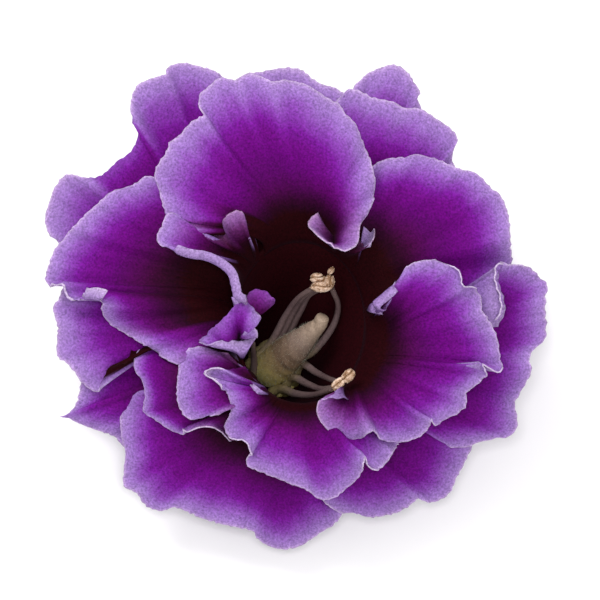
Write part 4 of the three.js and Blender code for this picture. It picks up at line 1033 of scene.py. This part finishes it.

# %% [markdown]
# ## The pistil
# The ovary sits on the tube's floor and narrows to a thick fleshy style with a blunt stigma.
# Its own olive at the foot is painted a bright pale yellow, standing in for light that reaches
# deep into the tube; it is browner above, and mealy and paler at the tip. A rod whose radius
# changes along a curve is enough: its rings keep the same heading, so the flesh isn't twisted.

# %% Rods along a curve
def rod_rings(path, radii, steps, sides):
    """Rings round a curve, with no twist from one to the next."""
    middle = through(path, steps)
    heading = unit(np.gradient(middle, axis=0))
    radius = np.interp(np.linspace(0, len(radii) - 1, steps + 1), range(len(radii)), radii)
    radius = calmed(radius[:, None], round(steps / len(radii)))[:, 0]
    side = np.array([1.0, 0, 0])
    angle = np.linspace(0, FULL_TURN, sides, endpoint=False)
    rings = []
    for at, forward, size in zip(middle, heading, radius):
        side = unit(side - forward * side.dot(forward))
        other = np.cross(forward, side)
        rings.append(at + size * (np.cos(angle)[:, None] * side + np.sin(angle)[:, None] * other))
    return rings


def lumps(points, wavelength, draw):
    """Waves along three directions at random, for flesh that is never quite round."""
    return [ripple(points @ way, wavelength, draw) for way in draw.normal(size=(3, 3))]


# %% Style flesh
# The bright pale yellow of the foot is painted light, for light that reaches deep into the tube.
PISTIL_AND_LIGHT_STOPS = [
    (0.0, "fbf08c"), (0.3, "f0e28a"), (0.45, "a89260"), (0.6, "745c48"), (0.8, "7e6a5f"),
    (1.0, "94806f"),
]
BLOT = 2.38  # mm


def grained(material, place, colour, grain, rough, contrast, least, strength, depth):
    """The material with a fine grain in its colour and relief; grain and depth are in mm."""
    tree = material.node_tree
    meal = add(tree, "ShaderNodeTexNoise", place, 1 / (grain * MM), 3.0, rough)
    shade = add(tree, "ShaderNodeMath", meal, contrast, least, operation="MULTIPLY_ADD")
    mottled = add(tree, "ShaderNodeVectorMath", colour, shade, operation="SCALE")
    bumps = add(tree, "ShaderNodeBump", Strength=strength, Distance=depth * MM, Height=meal)
    return coated(material, mottled, bumps)


def style_flesh():
    """Moist flesh under a mealy skin: soft light patches and a fine grain."""
    material, tree, place = new_material("style_flesh", Roughness=0.55, IOR=1.4)
    lengthways = add(tree, "ShaderNodeAttribute", attribute_name="lengthways", out="Fac")
    blots = add(tree, "ShaderNodeTexNoise", place, 1 / (BLOT * MM), 4.0, 0.65)
    shifted = add(tree, "ShaderNodeMath", blots, 0.16, lengthways, operation="MULTIPLY_ADD")
    flesh = add(tree, "ShaderNodeValToRGB", shifted, stops=PISTIL_AND_LIGHT_STOPS)
    return grained(material, place, flesh, grain=0.35, rough=0.7, contrast=1.3, least=0.4,
                   strength=0.6, depth=0.12)


# %% Pistil
PISTIL_PATH = [
    (-5, -12.4, -23.5), (-5, -11.5, -20.2), (-4.2, -10.7, -16.4), (-2.1, -8.7, -12.8),
    (0.3, -6.5, -10), (2.2, -4.7, -8), (3.5, -3.5, -6.6), (4.1, -2.2, -5.6),
]
PISTIL_RADII = (2.9, 3.4, 3.5, 3.3, 3.0, 2.3, 1.5, 1.2)
PISTIL_LUMP = 0.07  # mm high
PISTIL_LUMPS_APART = 1.7  # mm
BALD_FROM, BALD_TO = 0.75, 0.9  # the stretch of the style over which its hairs end


def pistil_part(steps=90, sides=40):
    points, faces = capped_rings(rod_rings(PISTIL_PATH, PISTIL_RADII, steps, sides))
    share = np.concatenate([[0], np.repeat(np.linspace(0, 1, steps + 1), sides), [1]])
    draw = np.random.default_rng(11)
    points = points + PISTIL_LUMP * np.stack(lumps(points, PISTIL_LUMPS_APART, draw), axis=1)
    return {"points": points, "faces": faces, "lengthways": share,
            "hairy": 1 - smoothstep(share, BALD_FROM, BALD_TO)}


pistil = mesh_piece("pistil_flesh", pistil_part(), style_flesh())
finish_piece(pistil, "pistil", "pistil")
pistil_hairs = hairs_on("pistil_hairs", pistil, length=0.45, radius=0.02, per_square_cm=500, seed=6)
finish_piece(pistil_hairs, "pistil")

# %% [markdown]
# ## The filaments
# Each anther hangs on a long pale strand, broad at its foot and thin at its tip, that rises
# from a low ring round the ovary. A strand follows a path, so its centre line is drawn as
# points and one Geometry Nodes tree sweeps a tapering section along all of them. The ring is
# a bent tube that closes on itself, and a few lines of arrays make that without a seam.

# %% Filament lines
RING_RADIUS = 4.4
STRAND_FOOT = 0.7  # mm above the tube's foot
STRAND_START = 3.0  # mm that each first goes straight up
FILAMENTS = [  # where a strand starts on the ring, in degrees, and the path to its anther
    (170, [(-5.3, -6.9, -15), (-2.6, -1.9, -10.5), (-0.4, 1.2, -7.6), (2.2, 3.0, -5.5)]),
    (142, [(-3.9, -6.1, -15), (-1.2, -1.2, -10.4), (0.6, 1.4, -7.8), (2.9, 3.1, -5.5)]),
    (112, [(-2.4, -5.2, -15), (0.2, -0.9, -10), (1.6, 1.7, -7.8), (3.6, 2.9, -5.5)]),
    (20, [(2.4, -8.4, -14), (6, -3.8, -10.4), (6.9, -0.2, -8), (5.8, 2.9, -5)]),
    (-25, [(0.3, -10.8, -15), (2.9, -12.2, -8.5), (5, -13.2, -3), (6.8, -13.8, 0.7)]),
    (-58, [(-1.6, -13.2, -16), (1.4, -14.3, -8.5), (3.8, -15.1, -3), (6.2, -14.8, 1)]),
    (-90, [(-3.6, -15.2, -17), (-0.8, -16.1, -10.5), (2.4, -16.2, -4.5), (5.6, -15.1, 0.8)]),
    (205, [(-8.4, -11.8, -17.5), (-8.4, -9.4, -14), (-8.6, -6.9, -11)]),
]


def filament_lines(steps=60):
    """The strands' centre lines as loose edges, one chain each."""
    lines = []
    for foot, path in FILAMENTS:
        start = tube_point(math.radians(foot), 0, RING_RADIUS - TUBE_BASE_RADIUS) + UP * STRAND_FOOT
        lines.append(through([start, start + UP * STRAND_START, *path], steps))
    edges = [(line * (steps + 1) + step, line * (steps + 1) + step + 1)
             for line in range(len(lines)) for step in range(steps)]
    mesh = bpy.data.meshes.new("filament_lines")
    mesh.from_pydata(to_world(np.vstack(lines)).tolist(), edges, [])
    print("strands, in mm:", [round(length_of(line), 1) for line in lines])
    return placed("filament_lines", mesh)


def filament_steps(tree, sizes):
    """A round section swept along each line, tapering from its foot to its tip."""
    lines = add(tree, "GeometryNodeMeshToCurve", sizes["Geometry"])
    along = add(tree, "GeometryNodeSplineParameter")
    taper = add(tree, "ShaderNodeMapRange", along, 0.0, 0.85, sizes["Foot radius"], sizes["Tip radius"])
    section = add(tree, "GeometryNodeCurvePrimitiveCircle", sizes["Sides"], Radius=1.0)
    marked = add(tree, "GeometryNodeStoreNamedAttribute", lines, None, "lengthways", along,
                 data_type="FLOAT", domain="POINT")
    return add(tree, "GeometryNodeCurveToMesh", marked, section, taper, Fill_Caps=True)


# %% Filaments
FILAMENT_STOPS = [(0.0, "a89a5c"), (0.25, "a08f68"), (0.5, "746060"), (0.8, "503e40"), (1.0, "604e4c")]


def filament_skin():
    """Smooth moist skin, olive at the foot and brownish above, with a soft shine."""
    material, tree, place = new_material("filament_skin", Roughness=0.45, IOR=1.4)
    lengthways = add(tree, "ShaderNodeAttribute", attribute_name="lengthways", out="Fac")
    shade = add(tree, "ShaderNodeValToRGB", lengthways, stops=FILAMENT_STOPS)
    return grained(material, place, shade, grain=0.45, rough=0.6, contrast=1.2, least=0.4,
                   strength=0.4, depth=0.08)


skin = filament_skin()
lines = filament_lines()
strand_sizes = {"Foot radius": 0.95 * MM, "Tip radius": 0.5 * MM, "Sides": 10}
filaments = grown("filament_strands", lines, skin, filament_steps, strand_sizes)
bpy.data.objects.remove(lines)
finish_piece(filaments, "filaments", "filaments")

# %% The ring they grow from
RING_HALF_WIDTH = 0.5
RING_HALF_HEIGHT = 0.43
RING_MIDDLE = 0.85  # mm above the tube's foot
RING_SWELLING = 0.08


def stamen_ring(sides=12, steps=90):
    """A low ring with five gentle swellings."""
    turn = np.linspace(0, FULL_TURN, sides, endpoint=False)
    out = RING_RADIUS - TUBE_BASE_RADIUS + RING_HALF_WIDTH * np.cos(turn)
    rings = []
    for angle in np.linspace(0, FULL_TURN, steps, endpoint=False):
        half_height = RING_HALF_HEIGHT * (1 + RING_SWELLING * math.cos(5 * angle))
        rings.append(tube_point(angle, 0, out) + UP * (RING_MIDDLE + half_height * np.sin(turn))[:, None])
    faces = ring_faces(0, steps, sides)
    last = (steps - 1) * sides
    faces += [(last + side, last + (side + 1) % sides, (side + 1) % sides, side) for side in range(sides)]
    return {"points": np.vstack(rings), "faces": [face[::-1] for face in faces],
            "lengthways": np.zeros(steps * sides)}


ring = mesh_piece("stamen_ring", stamen_ring(), skin)
finish_piece(ring, "filaments", "filaments")

# %% [markdown]
# ## The anthers
# A gloxinia's anthers hold together by their tips in a little cluster over the throat. They
# are mealy cream sacs, each with a brown seam along it, dusted with pollen; the seam's brown is
# partly the sac's own and partly painted shade in its groove. The sacs are rounded forms with
# the seam pressed in; the pollen is scattered by Geometry Nodes, with few faces to a grain
# because there are so many.

# %% Anther sacs
UPPER_ANTHERS = [  # middle, half sizes, turn in degrees, and how brown
    ((3.7, 3.25, -4.1), (1.9, 0.95, 1.1), -2, 0.0),
    ((3.0, 4.9, -4.4), (1.25, 0.9, 0.9), 8, 0.1),
    ((5.3, 4.1, -4.5), (0.95, 1.45, 1.0), -12, 0.5),
    ((4.2, 4.4, -4.9), (0.9, 0.8, 0.8), 30, 0.9),
    ((5.6, 6.2, -4.0), (0.5, 0.8, 0.5), -40, 0.05),
]
LOWER_ANTHERS = [
    ((6.9, -14.2, 1.9), (1.5, 0.95, 0.9), 45, 0.0),
    ((8.7, -12.7, 2.1), (1.45, 1.05, 0.95), 48, 0.3),
]
SEAM_PLACE, SEAM_WANDER, SEAM_WIDTH = 0.15, 0.1, 0.16  # as shares of the sac's half width
SEAM_END = -0.3  # how far down the sides it goes
SEAM_DEPTH = 0.28
SAC_LUMP = 0.035
SAC_LUMPS_APART = 0.9
POLE = 0.03  # radians left open at each end for the caps


def sac_part(middle, half, degrees, browning, draw, sides=56, rows=36):
    """A lumpy sac with a seam pressed in along its length."""
    level = np.linspace(POLE, math.pi - POLE, rows)[:, None]
    angle = np.linspace(0, FULL_TURN, sides, endpoint=False)[None, :]
    ball = np.stack(np.broadcast_arrays(np.cos(level), np.sin(level) * np.cos(angle),
                                        np.sin(level) * np.sin(angle)), axis=-1)
    long_way = 0 if half[0] >= half[1] else 1
    if long_way == 1:
        ball = ball[..., [1, 0, 2]] * [1, 1, -1]
    off_seam = ball[..., 1 - long_way] - SEAM_PLACE + SEAM_WANDER * np.sin(3 * ball[..., long_way])
    seam = np.exp(-(off_seam / SEAM_WIDTH) ** 2) * (ball[..., 2] > SEAM_END)
    lumpy = 1 - SEAM_DEPTH * seam + SAC_LUMP * sum(lumps(ball, SAC_LUMPS_APART, draw))
    x, y, z = np.moveaxis(ball * np.array(half) * lumpy[..., None], -1, 0)
    cos, sin = math.cos(math.radians(degrees)), math.sin(math.radians(degrees))
    turned = np.stack([x * cos - y * sin, x * sin + y * cos, z], axis=-1)
    points, faces = capped_rings(list(turned + np.array(middle)))
    return {"points": points, "faces": [face[::-1] for face in faces],
            "seam": np.minimum(np.concatenate([[0], seam.reshape(-1), [0]]) + browning, 1)}


# %% Anther meal
ANTHER_STOPS = [(0.3, "6a472f"), (0.42, "9c7a60"), (0.54, "c9ab95"), (0.7, "dcc5b4")]
# Brown along the seam: partly the sac's own colour, partly painted shade in the pressed-in groove.
SEAM_SHADE_BROWN = "6e4d2c"
ANTHER_PATCH = 0.77  # mm


def anther_meal():
    """Dry and chalky cream, browned in patches and along the seam, where the brown is partly painted shade.
    """
    material, tree, place = new_material("anther_meal", Roughness=0.8, IOR=1.45)
    seam = add(tree, "ShaderNodeAttribute", attribute_name="seam", out="Fac")
    patches = add(tree, "ShaderNodeTexNoise", place, 1 / (ANTHER_PATCH * MM), 2.0)
    cream = add(tree, "ShaderNodeValToRGB", patches, stops=ANTHER_STOPS)
    seam_shaded = add(tree, "ShaderNodeMix", seam, cream, linear(SEAM_SHADE_BROWN), data_type="RGBA")
    return grained(material, place, seam_shaded, grain=0.4, rough=0.65, contrast=0.9, least=0.6,
                   strength=0.7, depth=0.12)


# %% Pollen
POLLEN_STOPS = [(0.35, "7c5a40"), (0.5, "b39680"), (0.64, "d6c0b0")]
POLLEN_PATCH = 0.3  # mm
POLLEN = {"Per square metre": 7e6, "Radius": 0.08 * MM, "Seed": 8}
POLLEN_SIZES = (0.5, 1.3)


def pollen_steps(tree, sizes):
    """Small grains scattered over the host."""
    points = add(tree, "GeometryNodeDistributePointsOnFaces", sizes["Geometry"], None,
                 sizes["Per square metre"], Seed=sizes["Seed"])
    grain = add(tree, "GeometryNodeMeshIcoSphere", sizes["Radius"], 1)
    size = add(tree, "FunctionNodeRandomValue", data_type="FLOAT", Min=POLLEN_SIZES[0],
               Max=POLLEN_SIZES[1], Seed=sizes["Seed"])
    return add(tree, "GeometryNodeInstanceOnPoints", points, Instance=grain, Scale=size)


def pollen_meal():
    """Quite without shine, a little uneven from grain to grain."""
    material, tree, place = new_material("pollen_meal", Roughness=0.9)
    speckle = add(tree, "ShaderNodeTexNoise", place, 1 / (POLLEN_PATCH * MM), 1.0)
    return coated(material, add(tree, "ShaderNodeValToRGB", speckle, stops=POLLEN_STOPS))


# %% Place the anthers and dust them
meal_material = anther_meal()
grain_material = pollen_meal()
draw = np.random.default_rng(19)
for name, sacs, node in (("upper", UPPER_ANTHERS, "anthers_upper"),
                         ("lower", LOWER_ANTHERS, "anther_lower")):
    cluster = joined_parts([sac_part(*sac, draw) for sac in sacs])
    anthers = mesh_piece(f"{name}_anther_sacs", cluster, meal_material)
    finish_piece(anthers, "anthers", node)
    finish_piece(grown(f"{name}_pollen", anthers, grain_material, pollen_steps, POLLEN), "anthers")

# %% [markdown]
# ## The studio
# A plain pale floor, a broad soft light above, weaker ones from the side and from near the
# camera, and a bright even surround. The camera looks straight into the face of the bloom from
# far off through a long lens, so that near and far petals keep their true proportions.

# %% Floor
FLOOR_HALF = 2.5  # metres
FLOOR_PATCH = 83  # mm


def studio_floor():
    """Matt card, so pale that it only takes a soft shadow."""
    material, tree, place = new_material("pale_floor", Roughness=0.9)
    mottle = add(tree, "ShaderNodeTexNoise", place, 1 / (FLOOR_PATCH * MM))
    coated(material, add(tree, "ShaderNodeValToRGB", mottle, stops=[(0.0, "f4f3f4"), (1.0, "f9f8f9")]))
    corners = [(x * FLOOR_HALF, y * FLOOR_HALF, 0) for x, y in ((-1, -1), (1, -1), (1, 1), (-1, 1))]
    mesh = bpy.data.meshes.new("floor")
    mesh.from_pydata(corners, [], [(0, 1, 2, 3)])
    mesh.materials.append(material)
    floor = placed("floor", mesh)
    floor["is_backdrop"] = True
    print("floor:", 2 * FLOOR_HALF, "metres across")


studio_floor()

# %% Lights
LIGHTS = {  # place and width in metres, and watts
    "key": ((-0.25, 0.3, 0.7), 0.35, 3.5),
    "fill": ((0.5, -0.5, 0.6), 0.6, 1.4),
    "front": ((0.0, -0.2, 0.9), 0.16, 2.4),
}
SURROUND = 0.85
bloom_middle = Vector((0, 0, FACE_HEIGHT * MM))
for name, (place, width, power) in LIGHTS.items():
    lamp = bpy.data.lights.new(name, "AREA")
    lamp.shape = "DISK"
    lamp.size = width
    lamp.energy = power
    light = placed(name, lamp)
    light.location = place
    light.rotation_euler = (bloom_middle - Vector(place)).to_track_quat("-Z", "Y").to_euler()
world = bpy.data.worlds.new("surround")
world.use_nodes = True
background = world.node_tree.nodes["Background"].inputs
background["Color"].default_value = linear("ffffff")
background["Strength"].default_value = SURROUND
bpy.context.scene.world = world
print("lights:", ", ".join(LIGHTS))

# %% Camera
CAMERA_DISTANCE = 1.5
VIEW_WIDTH = 0.108  # metres across the picture at the bloom's face
VIEW_MIDDLE = [0, 0.9, 0]  # mm, in the face's frame
SENSOR = 36.0
out_of_face = unit(to_world([0, 0, 1])[0] - to_world([0, 0, 0])[0])
lens = bpy.data.cameras.new("camera")
lens.sensor_width = SENSOR
lens.lens = SENSOR * CAMERA_DISTANCE / VIEW_WIDTH
lens.clip_start = 0.05
camera = placed("camera", lens)
camera.location = to_world(VIEW_MIDDLE)[0] + out_of_face * CAMERA_DISTANCE
camera.rotation_euler = (FACE_TILT, 0, 0)
bpy.context.scene.camera = camera
bpy.context.scene.view_settings.view_transform = "Standard"
print("camera at", [round(value, 3) for value in camera.location])

# %% [markdown]
# ## Sizes
# The boxes of the solid model and of the dressed bloom, printed side by side. The dressed
# bloom has to stay inside the solid model's box.

# %% Print both boxes
dressed_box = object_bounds()
boxes = {"solid": [list(corner) for corner in solid_box], "dressed": [list(corner) for corner in dressed_box]}
for name, box in boxes.items():
    print(name, [[round(value / MM, 1) for value in corner] for corner in box])
